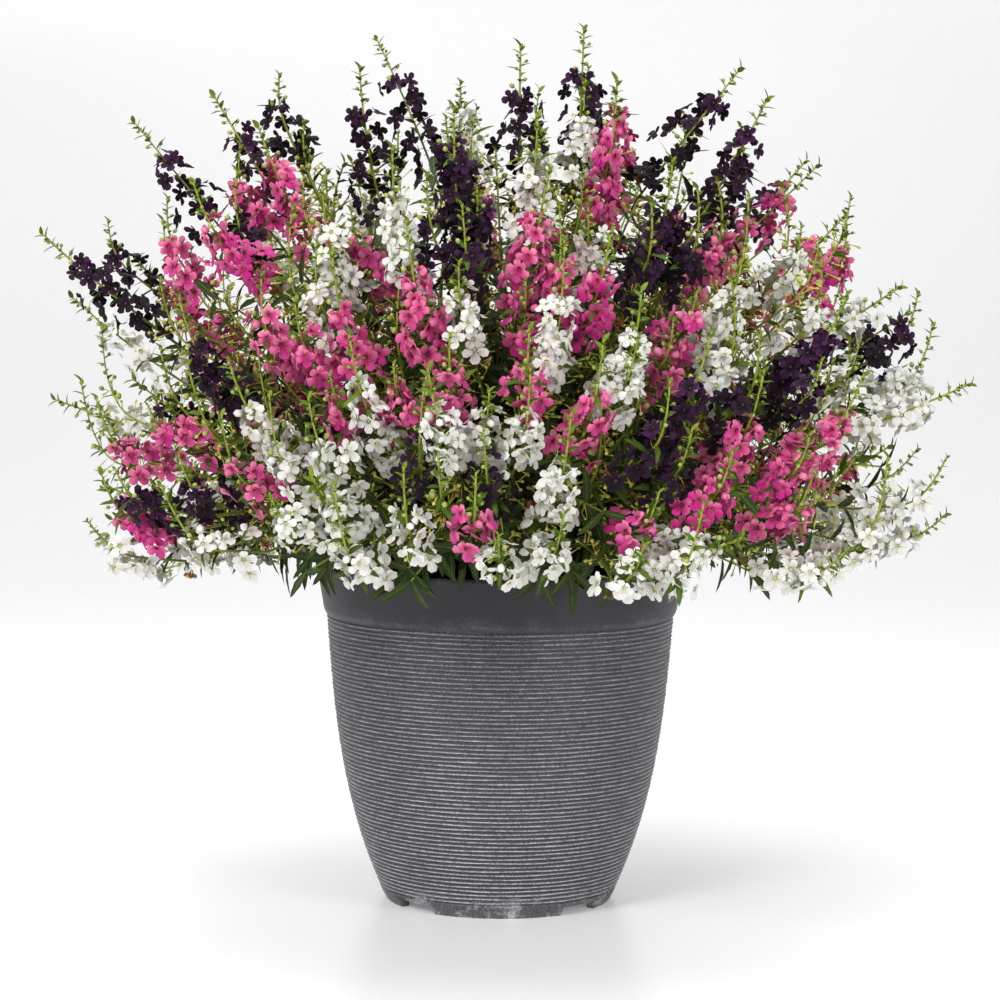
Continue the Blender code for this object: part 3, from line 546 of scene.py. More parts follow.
def planned_shoots():
    """Each shoot as (colour, tips): those at the edge, those in front, and those behind.

    Each one behind stands in the middle of the widest gap that is left there.
    """
    shoots = []
    for i, (colour, *tips) in enumerate(EDGE_SHOOTS):
        depth = EDGE_DEPTHS[i % len(EDGE_DEPTHS)]
        shoots.append((colour, [np.array((x / 1000, depth, POT_HEIGHT + up / 1000)) for x, up in tips]))
    front = [
        (colour, [on_dome(x / 1000, up / 1000) for x, up in tips]) for colour, *tips in FACE_SHOOTS
    ]
    shoots += front
    ways = dome_ways(GOLDEN_ANGLE * np.arange(BACK_PLACES), np.linspace(0.97, 0.04, BACK_PLACES))
    places = FOCUS + BACK_DOME * DOME * ways
    places = places[places[:, 1] > 0]
    for colour, tips in front[:BACK_SPRAYS]:
        other = COLOURS[(COLOURS.index(colour) + 1) % 3]
        taken = np.vstack([tip for _, placed in shoots for tip in placed])
        tip = places[np.linalg.norm(places[:, None] - taken, axis=-1).min(1).argmax()]
        beside = unit(np.cross(tip - FOCUS, UP)) * TIPS_APART
        shoots.append((other, [tip, tip + beside][: len(tips)]))
    return shoots


class Growth:
    """The course of every shoot: a stem that bends from its crown into a straight raceme.

    The movable points are the foot and the tip of each raceme and a shift of each stem's knot. Every
    sample point is a weighted sum of them, so that a push on a sample is shared by the same weights.
    """

    def __init__(self, shoots):
        self.colours = [colour for colour, _ in shoots]
        self.racemes = []
        self.movable = []
        for colour, tips in shoots:
            rows = []
            for tip in tips:
                way = unit(tip - FOCUS)
                foot = tip - way * RACEME_LENGTH
                if rows:
                    apart = foot - self.movable[rows[0]]
                    apart = apart - way * (apart @ way)
                    foot = self.movable[rows[0]] + unit(apart) * TWIN_SPACING + way * TWIN_RISE
                    tip = foot + unit(tip - foot) * RACEME_LENGTH
                rows.append(len(self.movable))
                self.movable += [foot, tip]
            self.racemes.append(rows)
        self.shift = len(self.movable) + np.arange(len(shoots))
        self.movable = np.array(self.movable + [np.zeros(3)] * len(shoots))
        feet = self.movable[[rows[0] for rows in self.racemes]]
        self.spread_roots(feet)
        self.bend = STEM_BEND * np.linalg.norm(feet - self.roots, axis=1) / RACEME_LENGTH
        self.list_samples()

    def spread_roots(self, feet):
        """Spaces the stems over the top of their crown, each on the side that it leans to."""
        crowns = np.array([crown_place(colour) for colour in self.colours])
        lean = (feet - crowns)[:, :2]
        offset = lean / np.linalg.norm(lean, axis=1).max() * ROOT_SPREAD
        same = np.array(self.colours)[:, None] == np.array(self.colours)[None]
        for _ in range(ROOT_ROUNDS):
            gap = offset[:, None] - offset[None]
            distance = np.linalg.norm(gap, axis=-1) + 1e-9
            close = np.where(same, np.maximum(ROOT_SPACING - distance, 0), 0)
            offset += (gap / distance[..., None] * close[..., None]).sum(1) * ROOT_STEP
            offset *= np.minimum(1, ROOT_SPREAD / np.linalg.norm(offset, axis=1))[:, None]
        self.roots = crowns + (0, 0, ROOT_RISE)
        self.roots[:, :2] += offset

    def list_samples(self):
        """Lists sample points along every raceme and stem, as weights of the movable points.

        A stem's samples name its plant, and a raceme's its own shoot as a number below zero.
        """
        samples = []
        for s, feet in enumerate(self.racemes):
            for foot in feet:
                for share in RACEME_SAMPLES:
                    row = np.zeros(len(self.movable))
                    row[foot], row[foot + 1] = 1 - share, share
                    reach = FLOWER_REACH if share < GREEN_FROM else TIP_REACH
                    samples.append((row, np.zeros(3), reach, foot, -1 - s, share))
            foot, plant = feet[0], COLOURS.index(self.colours[s])
            for share in STEM_SAMPLES:
                row = np.zeros(len(self.movable))
                root, row[foot], row[foot + 1], row[self.shift[s]] = self.stem_weights(s, share)
                samples.append((row, self.roots[s] * root, STEM_REACH, foot, plant, share))
        columns = [np.array(column) for column in zip(*samples)]
        self.weights, self.base, self.reach, self.owner, self.plant, self.share = columns

    def near_pairs(self, here):
        """Pairs of samples that could come to touch, leaving out those that may cross."""
        gap = np.linalg.norm(here[:, None] - here[None], axis=-1)
        need = self.reach[:, None] + self.reach[None]
        near = (gap < need + NEAR_MARGIN) & (self.owner[:, None] != self.owner[None])
        first, second = np.nonzero(np.triu(near))
        need = self.reach[first] + self.reach[second] + CLEARANCE
        sisters = (self.plant[first] >= 0) & (self.plant[first] == self.plant[second])
        return first, second, np.where(sisters, ROOT_SPACING, need)

    def settle(self):
        """Moves neighbouring shoots apart until their flowers and stems clear each other and the pot."""
        total = np.abs(self.weights).sum(0)
        for i in range(SETTLE_ROUNDS):
            here = self.weights @ self.movable + self.base
            if i % LIST_AGAIN == 0:
                first, second, need = self.near_pairs(here)
            gap = here[first] - here[second]
            distance = np.linalg.norm(gap, axis=1) + 1e-9
            overlap = np.maximum(need - distance, 0)
            push = np.zeros_like(here)
            step = gap / distance[:, None] * overlap[:, None]
            np.add.at(push, first, step)
            np.add.at(push, second, -step)
            push += self.lift(here)
            if i % LIST_AGAIN == 0 and (overlap < CLEARANCE).all():
                break
            self.movable += (self.weights.T @ push) / total[:, None] * SETTLE_STEP
            self.keep_lengths()

    def keep_lengths(self):
        """Gives every raceme its length again, and keeps each second one near its twin."""
        for rows in self.racemes:
            main, _, way = self.axis(rows[0])
            self.movable[rows[0]] = main = self.movable[rows[0] + 1] - way * RACEME_LENGTH
            for foot in rows[1:]:
                _, _, way = self.axis(foot)
                apart = self.movable[foot] - main
                far = np.linalg.norm(apart)
                self.movable[foot] = main + apart * min(1, TWIN_REACH / far)
                self.movable[foot + 1] = self.movable[foot] + way * RACEME_LENGTH

    def lift(self, here):
        """Lifts what would touch the pot's rim or lie in the soil."""
        out = np.linalg.norm(here[:, :2], axis=1)
        floor = np.where(out < RIM_RADIUS + 0.02, POT_HEIGHT + 0.003, 0.1)
        floor = np.where(out < RIM_RADIUS - 0.03, SOIL_TOP + 0.006 + 0.02 * out / 0.12, floor)
        lift = np.maximum(floor + self.reach - here[:, 2], 0)
        rooted = (self.plant >= 0) & (self.share < 0.15)
        return np.where(rooted, 0, lift)[:, None] * SETTLE_STEP * UP

    def axis(self, foot):
        """A raceme's foot, its tip and its direction."""
        start, tip = self.movable[foot], self.movable[foot + 1]
        return start, tip, unit(tip - start)

    def stem_weights(self, s, share):
        """The weights of root, foot, tip and knot shift at a share of a stem.

        The stem is drawn straight between knots on a parabola that ends along its raceme's axis.
        """
        place = share * (len(STEM_KNOTS) - 1)
        k = min(int(place), len(STEM_KNOTS) - 2)
        t = np.array((STEM_KNOTS[k], STEM_KNOTS[k + 1]))
        from_root, from_bend, from_end = (1 - t) ** 2, 2 * t * (1 - t), t**2
        straight = STRAIGHT_FOOT / RACEME_LENGTH
        behind = from_bend * self.bend[s] + from_end * straight
        shifted = (t > 0) & (t < 1)
        knots = np.array((from_root, from_bend + from_end + behind, -behind, shifted))
        return knots @ (1 - place + k, place - k)


growth = Growth(planned_shoots())
growth.settle()


# The green stems: square-cut, wiry and pale green, one from a crown for each shoot.
# Each grows on through its raceme, and a side shoot leaves it for the second raceme. The flower
# stalks, fine as thread, and the woody crowns in the soil are of the same growth.

STEM_POINTS, RACEME_POINTS, TWIN_POINTS = 16, 14, 7
STEM_TIP_THICK, RACEME_TIP_THICK = 0.0012, 0.0008
CROWN_DEPTH, CROWN_SIDES = 0.035, 14
CROWN_OUTLINE = np.array((
    (0.006, -CROWN_DEPTH), (0.0115, -CROWN_DEPTH * 0.6), (0.0165, -0.006), (0.0172, 0.002),
    (0.0158, 0.008), (0.0118, 0.0125), (0.005, CROWN_RISE),
))
TAKEN_SAMPLES = 8
HEAD_ROOM, HEAD_SHELL, HEAD_LENGTH = 0.0235, (0.77, 0.87), (0.046, 0.070)
RIM_SEEN = 0.272
LOW_RACEMES, LOW_RING, LOW_ROOM, LOW_DROOP = 26, 0.148, 0.032, 0.010
LOW_FOOT_HEIGHTS, LOW_LENGTH, LOW_TIP = (0.310, 0.322), (0.060, 0.082), 0.012
LOOSE_PLACES, LOOSE_LENGTH, LOOSE_FOOT = 1100, (0.060, 0.092), 0.112
SPENT_PLACES, SPENT_LENGTH, SPENT_FOOT = 500, (0.070, 0.085), 0.110
SPENT_RACEMES, SPENT_ROOM, SPENT_SHELL, GREEN_TIP = 84, 0.0175, (0.80, 0.99), (0.016, 0.032)
HEAD_SPREAD, LOOSE_SPREAD, SPENT_SPREAD = 0.10, 0.15, 0.20
ROOM_FRONT, ROOM_SIDE, ROOM_BACK = 0.064, 0.046, 0.034
SIDE_ROOTS, SPENT_LOWEST, OUTER_LOWEST, INNER_LOWEST = 0.0125, 0.315, 0.274, 0.300
MIX_HEIGHTS, LOW_DOWN = (0.34, 0.42, 0.50, 0.58), 0.34
WHITE_SHARE, PINK_SHARE = (0.72, 0.42, 0.28, 0.25), (0.24, 0.44, 0.42, 0.30)
FLORETS_EACH, EDGE_FLORETS, SIDE_FLORETS, PURPLE_THIN = 29, 22, (13, 21), 0.85
FLORET_RADIUS, STALK_LENGTH = 0.0096, 0.0125
MAIN_FIRST, MAIN_FLOWERS, MAIN_TIP, LONGEST_STALK = 0.034, 0.110, 0.143, 1.5
EDGE_FIRST, EDGE_FLOWERS, EDGE_TIP, EDGE_LONGEST_STALK = 0.006, 0.098, 0.134, 1.9
CROWDING, ALONG_SPREAD, TURN_SPREAD, FACING_SPREAD = 0.92, 0.0035, 0.35, 0.26
TAPER, TAPER_FROM, SHORTEST_STALK, FORWARD, SIZES = 0.40, 0.45, 0.55, (0.10, 1.0), (0.86, 1.08)
BUDS_EACH, PODS_EACH, SIDE_PODS, SPENT_PODS = 8, 32, 20, 28
BUD_RADII, BUD_STALKS = (0.0029, 0.0019, 0.0011), (0.0095, 0.0068, 0.0030)
POD_RUN, SPENT_RUN, TWIN_RUN, POD_SCATTER = 0.095, 0.02, 0.35, (-0.004, 0.004)
POD_STALKS, POD_FORWARD, POD_RADII, POD_DRYNESS = (0.010, 0.019), (0.1, 0.9), (0.0012, 0.0021), (2.2, 1.0)
LOWEST_BEND, SWAY, HANG, RISE, LYING_RISE = 0.350, 0.009, 0.045, 0.006, 0.012
FRONT_WAY, HANGING_WAY = -0.3, (-0.5, 0.25)
OLDER_FLOWERS, UPTURN, FACE_UPTURN = 0.65, (10.0, 22.0), 6.0

# How each kind of stem is drawn: its thickness at the foot and its sides.
STEM_KINDS = {"main": (0.0021, 6), "side": (0.0016, 4), "twin": (0.0012, 4)}

# How far right of the pot's axis and above its rim the middles of further flower heads stand on
# the side that the photograph shows, in millimetres at the axis.
SIDE_HEADS = {
    "white": (
        (-146, 216), (-122, 199), (-75, 199), (-33, 214), (-15, 122), (46, 138), (18, 112), (101, 127),
        (96, 153), (138, 122), (158, 173), (182, 169), (-139, 94), (-172, 84), (-94, 82), (-43, 60),
        (-75, 33), (-119, 9), (-167, 39), (35, 72), (52, 41), (40, 13), (0, 11), (107, -1),
        (142, -3), (-211, 106), (-234, 20), (-301, 13), (-83, 273), (-243, 282), (-323, 286),
        (23, 267), (46, 297), (72, 264), (61, 357), (230, 251), (289, 260), (272, 222), (249, 204),
        (274, 160), (320, 222), (326, 238), (329, 162), (331, 63), (292, 24), (323, 32), (246, 4),
        (164, 47), (-32, 368),
    ),
    "pink": (
        (-148, 126), (-82, 118), (-58, 121), (-169, 180), (-139, 171), (-129, 133), (-101, 133),
        (-83, 141), (-43, 153), (18, 157), (18, 209), (68, 206), (73, 164), (94, 168), (101, 190),
        (150, 209), (65, 72), (113, 39), (132, 34), (172, 63), (-44, 89), (-23, 39), (-106, 107),
        (-209, 306), (-174, 261), (-143, 263), (-215, 233), (-192, 196), (-160, 182), (-267, 257),
        (-111, 263), (-306, 99), (-268, 111), (-301, 39), (-261, 43), (-210, 75), (173, 266),
        (272, 256), (168, 210), (129, 174), (236, 83), (235, 50), (92, 362), (50, 264), (52, 331),
        (46, 246),
    ),
    "purple": (
        (-21, 230), (122, 103), (141, 82), (23, 60), (-9, 72), (-70, 94), (-213, 276), (-180, 369),
        (-40, 339), (-70, 235), (-29, 253), (-290, 53), (-244, 61), (-217, 127), (-174, 119),
        (-251, 123), (-308, 251), (191, 325), (149, 262), (162, 225), (320, 194), (124, 222),
        (196, 142), (244, 144), (260, 116), (138, 101), (140, 75), (165, 117), (13, 360),
        (-21, 306), (-21, 282), (-55, 278), (-39, 261), (70, 381), (75, 360), (116, 255), (-12, 246),
    ),
}


def round_axis(ways, turns):
    """Directions square to each way, at each turn about it."""
    ways = unit(ways)
    side = unit(np.cross(ways, np.array((0.31, 0.47, -0.83))))
    over = np.cross(ways, side)
    turns = np.asarray(turns)[..., None]
    return side * np.cos(turns) + over * np.sin(turns)


def parabola(root, bend, end, count):
    """Points on the parabola that leaves its root towards the bend and comes from there to its end."""
    t = np.linspace(0, 1, count)[:, None]
    return (1 - t) ** 2 * root + 2 * t * (1 - t) * bend + t**2 * end


def tubes(lines, radii, sides):
    """Round rods, many at once, each a circle carried along its own line and capped at both ends.

    The circle at each point lies square to the line there, turned from one reference for each rod.
    """
    lines = np.asarray(lines, float)
    count, steps = lines.shape[:2]
    radii = np.broadcast_to(radii, (count, steps))
    along = unit(np.gradient(lines, axis=1))
    reference = np.cross(lines[:, -1] - lines[:, 0], np.array((0.31, 0.47, -0.83)))[:, None]
    side = unit(reference - along * (reference * along).sum(-1, keepdims=True))
    over = np.cross(along, side)
    turn = np.arange(sides) * 2 * math.pi / sides
    ring = side[:, :, None] * np.cos(turn)[:, None] + over[:, :, None] * np.sin(turn)[:, None]
    points = lines[:, :, None] + ring * radii[..., None, None]
    fan = np.stack([np.zeros(sides - 2, int), np.arange(2, sides), np.arange(1, sides - 1)], -1)
    one = (quads_between(steps, sides, True), fan, fan[:, ::-1] + (steps - 1) * sides)
    shift = (np.arange(count) * steps * sides)[:, None, None]
    faces = [(part[None] + shift).reshape(-1, part.shape[1]) for part in one]
    share = np.broadcast_to(np.linspace(0, 1, steps)[:, None], (count, steps, sides))
    return points.reshape(-1, 3), faces, {"share": share.ravel()}


def gather(parts):
    """Joins parts, each (points, face arrays, values by name), into one."""
    points, faces, values, first = [], [], {}, 0
    for part_points, part_faces, part_values in parts:
        points.append(part_points)
        faces += [part + first for part in part_faces]
        for key, numbers in part_values.items():
            values.setdefault(key, []).append(np.broadcast_to(numbers, len(part_points)))
        first += len(part_points)
    return np.concatenate(points), faces, {k: np.concatenate(v) for k, v in values.items()}


def smooth_stem(s, t):
    """A stem as the parabola through its knots, with its middle knot's shift shared as a bump."""
    start, tip, way = growth.axis(growth.racemes[s][0])
    t = np.asarray(t, float)[:, None]
    bend = start - (tip - start) * growth.bend[s]
    end = start - way * STRAIGHT_FOOT
    curve = (1 - t) ** 2 * growth.roots[s] + 2 * t * (1 - t) * bend + t**2 * end
    return curve + 4 * t * (1 - t) * growth.movable[growth.shift[s]]


class Raceme:
    """A flowering or spent shoot's end: where it stands, how it bends and how long each part is.

    Its florets reach from first to flowers along it, and its bare green end reaches on to its tip.
    """

    def __init__(self, kind, shoot, colour, start, way, stem, florets, flowers, tip, droop=0.0):
        self.kind, self.shoot, self.colour = kind, shoot, colour
        self.start, self.way, self.stem = start, way, stem
        self.florets, self.first, self.flowers, self.tip = florets, 0.0, flowers, tip
        self.droop, self.sway, self.upturn, self.longest_stalk = droop, 0.0, 0.0, LONGEST_STALK

    def course(self, along):
        """Points at metres along it and, for distances below its foot, back down its stem.

        It rises by a cubic of the distance, most where it lies flat, less the droop, and sways aside
        by a square of it. Its green end turns up to the light by a square of how far it has grown
        past the older flowers.
        """
        along = np.asarray(along, float)
        ahead = np.maximum(along, 0)[..., None]
        up = UP - self.way * self.way[2]
        rise = (RISE + LYING_RISE * abs(self.way[1]) - self.droop) * up
        share = ahead / RACEME_LENGTH
        past = np.maximum(along - OLDER_FLOWERS * self.flowers, 0)[..., None]
        above = self.start + self.way * ahead + rise * share**3 + self.sway * share**2
        above = above + self.upturn * past**2 * up
        run = np.append(0, np.linalg.norm(np.diff(self.stem, axis=0), axis=1).cumsum())
        at = run[-1] + np.minimum(along, 0)
        below = np.stack([np.interp(at, run, self.stem[:, c]) for c in range(3)], -1)
        return np.where((along < 0)[..., None], below, above)

    def heading(self, along):
        """Its direction at distances along it."""
        return unit(self.course(along + 0.001) - self.course(along - 0.001))

    def grow(self, chance):
        """Bends it a little its own way, then gives it its florets, buds and pods."""
        side = chance.normal(0, SWAY, 3)
        self.sway = side - self.way * (self.way @ side)
        if self.shoot is None:
            self.upturn = chance.uniform(*UPTURN)
        else:
            self.first, self.upturn = MAIN_FIRST, FACE_UPTURN if self.way[1] < FRONT_WAY else 0.0
            if self.shoot < len(EDGE_SHOOTS):
                self.first, self.flowers, self.tip = EDGE_FIRST, EDGE_FLOWERS, EDGE_TIP
                self.florets, self.longest_stalk = EDGE_FLORETS, EDGE_LONGEST_STALK
            if self.way[1] < HANGING_WAY[0] and self.way[2] < HANGING_WAY[1]:
                self.droop = HANG
        self.floret = self.floret_places(chance)
        self.bud = self.bud_places(chance)
        self.pod = self.pod_places(chance)

    def floret_places(self, chance):
        """Florets wound up the axis by the golden angle, each on its stalk and facing out."""
        count, way = self.florets, self.way
        i = np.arange(count)
        along = self.first + (self.flowers - self.first) * ((i + 0.5) / max(count, 1)) ** CROWDING
        along = np.clip(along + chance.normal(0, ALONG_SPREAD, count), 0.001, self.flowers)
        taper = 1 - TAPER * np.clip((along / self.flowers - TAPER_FROM) / (1 - TAPER_FROM), 0, 1)
        axis = self.course(along)
        turn = GOLDEN_ANGLE * i + chance.uniform(0, 2 * math.pi) + chance.normal(0, TURN_SPREAD, count)
        out = round_axis(np.tile(way, (count, 1)), turn)
        stalk = STALK_LENGTH * taper * chance.uniform(SHORTEST_STALK, self.longest_stalk, count)
        facing = out + way * chance.uniform(*FORWARD, count)[:, None]
        facing = unit(facing + chance.normal(0, FACING_SPREAD, (count, 3)) + 0.06 * UP)
        centre = axis + out * stalk[:, None] + way * (0.35 * stalk)[:, None]
        lean = unit(0.65 * way + 0.5 * UP)
        roll = 0.16 * round_axis(facing, chance.uniform(0, 6.28, count))
        up = lean - facing * (facing @ lean)[:, None] + roll
        up = unit(up - facing * (up * facing).sum(1)[:, None])
        size = FLORET_RADIUS * (0.60 + 0.40 * taper) * chance.uniform(*SIZES, count)
        return {"centre": centre, "facing": facing, "up": up, "size": size, "foot": axis, "along": along}

    def bud_places(self, chance):
        """Round buds above the florets, smaller and on shorter stalks towards the tip."""
        j = np.arange(BUDS_EACH)
        along = self.flowers - 0.010 + (self.tip - self.flowers + 0.006) * j / BUDS_EACH
        axis, ahead = self.course(along), self.heading(along)
        out = round_axis(ahead, GOLDEN_ANGLE * j + 2)
        length = np.interp(j, (0, 4, 8), BUD_STALKS) * chance.uniform(0.8, 1.2, BUDS_EACH)
        place = axis + unit(out + 0.7 * ahead) * length[:, None]
        return {"foot": axis, "place": place, "size": np.interp(j, (0, 3, 8), BUD_RADII)}

    def pod_places(self, chance):
        """Pods on longer stalks below the florets, where the first flowers were, many of them dry."""
        pods = PODS_EACH if self.shoot is not None else SIDE_PODS if self.florets else SPENT_PODS
        first = self.first + 0.004 if self.florets else self.flowers
        last = first - POD_RUN if self.florets else -SPENT_RUN
        along = np.linspace(first, last, pods) + chance.uniform(*POD_SCATTER, pods)
        axis = self.course(along * TWIN_RUN if self.kind == "twin" else along)
        out = round_axis(np.tile(self.way, (pods, 1)), GOLDEN_ANGLE * np.arange(pods) + 4)
        length = chance.uniform(*POD_STALKS, pods)[:, None]
        ahead = chance.uniform(*POD_FORWARD, pods)[:, None] * self.way
        place = axis + unit(out + ahead + 0.1 * UP) * length
        size = chance.uniform(*POD_RADII, pods)
        return {"foot": axis, "place": place, "size": size, "dry": chance.beta(*POD_DRYNESS, pods)}


def seen_at(across, up, shell):
    """The place on a share of the dome that the camera sees so far across and above the rim.

    It is where the line of sight first meets that ellipsoid, or where it comes nearest to it.
    """
    eye = np.array(camera.location)
    sight = np.array((across, 0.0, RIM_SEEN + up)) - eye
    start, run = (eye - FOCUS) / DOME, sight / DOME
    middle, square = -(start @ run) / (run @ run), run @ run
    reach = middle**2 - (start @ start - shell**2) / square
    return eye + sight * (middle - math.sqrt(max(reach, 0.0)))


def loose_way(tip, spread):
    """The direction from the dome's focus to a tip, a little off true."""
    return unit(unit(tip - FOCUS) + chance.normal(0, spread, 3))


racemes = []
for s, feet in enumerate(growth.racemes):
    colour = growth.colours[s]
    main, _, main_way = growth.axis(feet[0])
    stem = np.vstack([smooth_stem(s, np.linspace(0, 1, STEM_POINTS)), main[None]])
    grown = (FLORETS_EACH, MAIN_FLOWERS, MAIN_TIP)
    racemes.append(Raceme("main", s, colour, main, main_way, stem, *grown))
    for foot in feet[1:]:
        start, _, way = growth.axis(foot)
        fork = main - main_way * 0.01
        bend = start - way * np.linalg.norm(start - fork) * 0.45
        stem = parabola(fork, bend, start, TWIN_POINTS)
        racemes.append(Raceme("twin", s, colour, start, way, stem, *grown))

# Each further raceme that could grow is its foot, its way, the room it needs, the length of its
# flowers, its droop, whether it blooms, and its colour where that is given.
chance = np.random.default_rng(33)
candidates = []
for colour, places in SIDE_HEADS.items():
    for across, up in places:
        head = seen_at(across / 1000, up / 1000, chance.uniform(*HEAD_SHELL))
        way = loose_way(head, HEAD_SPREAD)
        flowers = chance.uniform(*HEAD_LENGTH)
        candidates.append((head - way * flowers * 0.55, way, HEAD_ROOM, flowers, 0.0, True, colour))
candidates = [candidates[i] for i in chance.permutation(len(candidates))]
for i in range(LOW_RACEMES):
    turn = i * 2 * math.pi / LOW_RACEMES + chance.normal(0, 0.04)
    if math.sin(turn) < -0.3:
        continue
    way = unit((math.cos(turn), math.sin(turn), chance.uniform(-0.06, 0.10)))
    foot = around(LOW_RING, turn, chance.uniform(*LOW_FOOT_HEIGHTS))
    given = "white" if math.sin(turn) < 0.4 else None
    candidates.append((foot, way, LOW_ROOM, chance.uniform(*LOW_LENGTH), LOW_DROOP, True, given))
for i in chance.permutation(LOOSE_PLACES):
    level = 0.99 - 0.93 * (i + 0.5) / LOOSE_PLACES
    way = dome_ways(GOLDEN_ANGLE * i, level)
    tip = FOCUS + DOME * way * chance.uniform(0.70, 0.96 - 0.24 * level**2)
    way = loose_way(tip, LOOSE_SPREAD)
    room = ROOM_FRONT if way[1] < -0.10 else ROOM_SIDE if way[1] < 0.30 or way[2] > 0.65 else ROOM_BACK
    flowers = chance.uniform(*LOOSE_LENGTH)
    candidates.append((tip - way * LOOSE_FOOT, way, room, flowers, 0.0, True, None))
for i in chance.permutation(SPENT_PLACES):
    way = dome_ways(GOLDEN_ANGLE * i + 1.0, 0.97 - 0.90 * (i + 0.5) / SPENT_PLACES)
    tip = FOCUS + DOME * way * chance.uniform(*SPENT_SHELL)
    way = loose_way(tip, SPENT_SPREAD)
    flowers = chance.uniform(*SPENT_LENGTH)
    candidates.append((tip - way * SPENT_FOOT, way, SPENT_ROOM, flowers, 0.0, False, None))

reach = np.linspace(0.0, 1.0, TAKEN_SAMPLES)[:, None]
taken = np.concatenate([r.start + r.way * r.tip * 0.85 * reach for r in racemes])
taken_colour = np.repeat([COLOURS.index(r.colour) for r in racemes], TAKEN_SAMPLES)
spent = 0
for start, way, room, flowers, droop, blooms, given in candidates:
    here = start + way * flowers * reach
    apart = np.linalg.norm(here[:, None] - taken[None], axis=-1)
    lowest = OUTER_LOWEST if math.hypot(*start[:2]) > 0.20 else INNER_LOWEST
    too_low = (here[:, 2] < (lowest if blooms else SPENT_LOWEST)).any()
    if apart.min() < room or too_low or (not blooms and spent == SPENT_RACEMES):
        continue
    colour = COLOURS[taken_colour[apart.min(0).argmin()]]
    if chance.uniform() < 0.5 or start[2] < LOW_DOWN:
        white = np.interp(start[2], MIX_HEIGHTS, WHITE_SHARE)
        pink = np.interp(start[2], MIX_HEIGHTS, PINK_SHARE)
        colour = COLOURS[int(np.searchsorted((white, white + pink), chance.uniform()))]
    colour = given or colour
    lean = unit((start - crown_place(colour)) * (1, 1, 0.01))
    root = crown_place(colour) + (0, 0, ROOT_RISE) + lean * SIDE_ROOTS
    bend = start - way * np.linalg.norm(start - root) * 0.5
    bend[2] = max(bend[2], LOWEST_BEND)
    stem = parabola(root, bend, start, STEM_POINTS)
    thin = PURPLE_THIN if colour == "purple" else 1
    florets = int(chance.integers(*SIDE_FLORETS) * thin) if blooms else 0
    tip = flowers + (LOW_TIP if droop else chance.uniform(*GREEN_TIP))
    racemes.append(Raceme("side", None, colour, start, way, stem, florets, flowers, tip, droop))
    spent += not blooms
    taken = np.vstack([taken, here])
    taken_colour = np.append(taken_colour, np.full(TAKEN_SAMPLES, COLOURS.index(colour)))

chance = np.random.default_rng(21)
for r in racemes:
    r.grow(chance)


def threads(foot, end, radius, spent):
    """Fine stalks, each a three-sided spike from foot to end, with how far it has dried."""
    count = len(foot)
    turn = np.arange(3) * 2 * math.pi / 3
    ring = round_axis(np.repeat((end - foot)[:, None], 3, 1), np.broadcast_to(turn, (count, 3)))
    points = np.concatenate([foot[:, None] + radius * ring, end[:, None]], 1)
    spike = np.array(((0, 1, 3), (1, 2, 3), (2, 0, 3), (0, 2, 1)))
    faces = (spike[None] + 4 * np.arange(count)[:, None, None]).reshape(-1, 3)
    values = {"share": np.ones(4 * count), "spent": np.repeat(spent, 4)}
    return points.reshape(-1, 3), [faces], values


def crown_knob(colour):
    """A plant's crown: its outline turned round, widest at the soil, and roughened."""
    turn = np.arange(CROWN_SIDES) * 2 * math.pi / CROWN_SIDES
    knob = around(CROWN_OUTLINE[:, :1], turn, CROWN_OUTLINE[:, 1:]).reshape(-1, 3) + crown_place(colour)
    knob += 0.0008 * ripple(knob, 0.012, 8)[:, None]
    ends = np.array([(0, 0, -CROWN_DEPTH), (0, 0, CROWN_RISE)]) + crown_place(colour)
    faces = closed_rings(len(CROWN_OUTLINE), CROWN_SIDES)
    return np.vstack([knob, ends]), faces, {"share": 0.0, "spent": 0.0}


stem_green, nodes = new_paint("stem_green", Roughness=0.5, Specular_IOR_Level=0.25)
place = nodes.place()
fleck = nodes.noise(place, 180.0, 3.0)
green = nodes.mixed(fleck, (0.18, 0.24, 0.020), (0.42, 0.47, 0.050))
rosy = nodes.ranged(nodes.noise(place, 14.0, 2.0), 0.55, 0.8, 0.0, 0.45)
# Painted shade: the green darkens to 0.22 of itself towards the roots and crowns, as in the shade inside
# the plant.
stem_shade = nodes.ranged(nodes.number("share"), 0.35, 0.80, 0.22, 1.0)
shaded_stem_tone = nodes.scaled(nodes.mixed(rosy, green, (0.24, 0.13, 0.045)), stem_shade)
dried_tone = nodes.mixed(fleck, (0.50, 0.43, 0.060), (0.84, 0.76, 0.15))
nodes.shade(
    bump=(fleck, 0.25, 0.0003), Base_Color=nodes.mixed(nodes.number("spent"), shaded_stem_tone, dried_tone),
)

for colour in COLOURS:
    parts = []
    mine = [r for r in racemes if r.colour == colour]
    for kind, (thick, sides) in STEM_KINDS.items():
        alike = [r for r in mine if r.kind == kind]
        if alike:
            ends = [r.course(np.linspace(0, r.tip, RACEME_POINTS)[1:]) for r in alike]
            below = np.linspace(thick, STEM_TIP_THICK, len(alike[0].stem))
            above = np.linspace(STEM_TIP_THICK, RACEME_TIP_THICK, RACEME_POINTS - 1)
            lines = [np.vstack([r.stem, end]) for r, end in zip(alike, ends)]
            parts.append(tubes(lines, np.append(below, above), sides))
            parts[-1][2]["spent"] = 0.0
    for r in mine:
        if r.florets:
            throat = r.floret["centre"] - r.floret["facing"] * r.floret["size"][:, None] * 0.42
            parts.append(threads(r.floret["foot"], throat, 0.00050, np.zeros(len(throat))))
        parts.append(threads(r.bud["place"], r.bud["foot"], 0.00060, np.zeros(BUDS_EACH)))
        parts.append(threads(r.pod["place"], r.pod["foot"], 0.00085, r.pod["dry"]))
    parts.append(crown_knob(colour))
    make_piece(f"{colour}_stems", gather(parts), stem_green, "green", [f"{colour}_plant"])
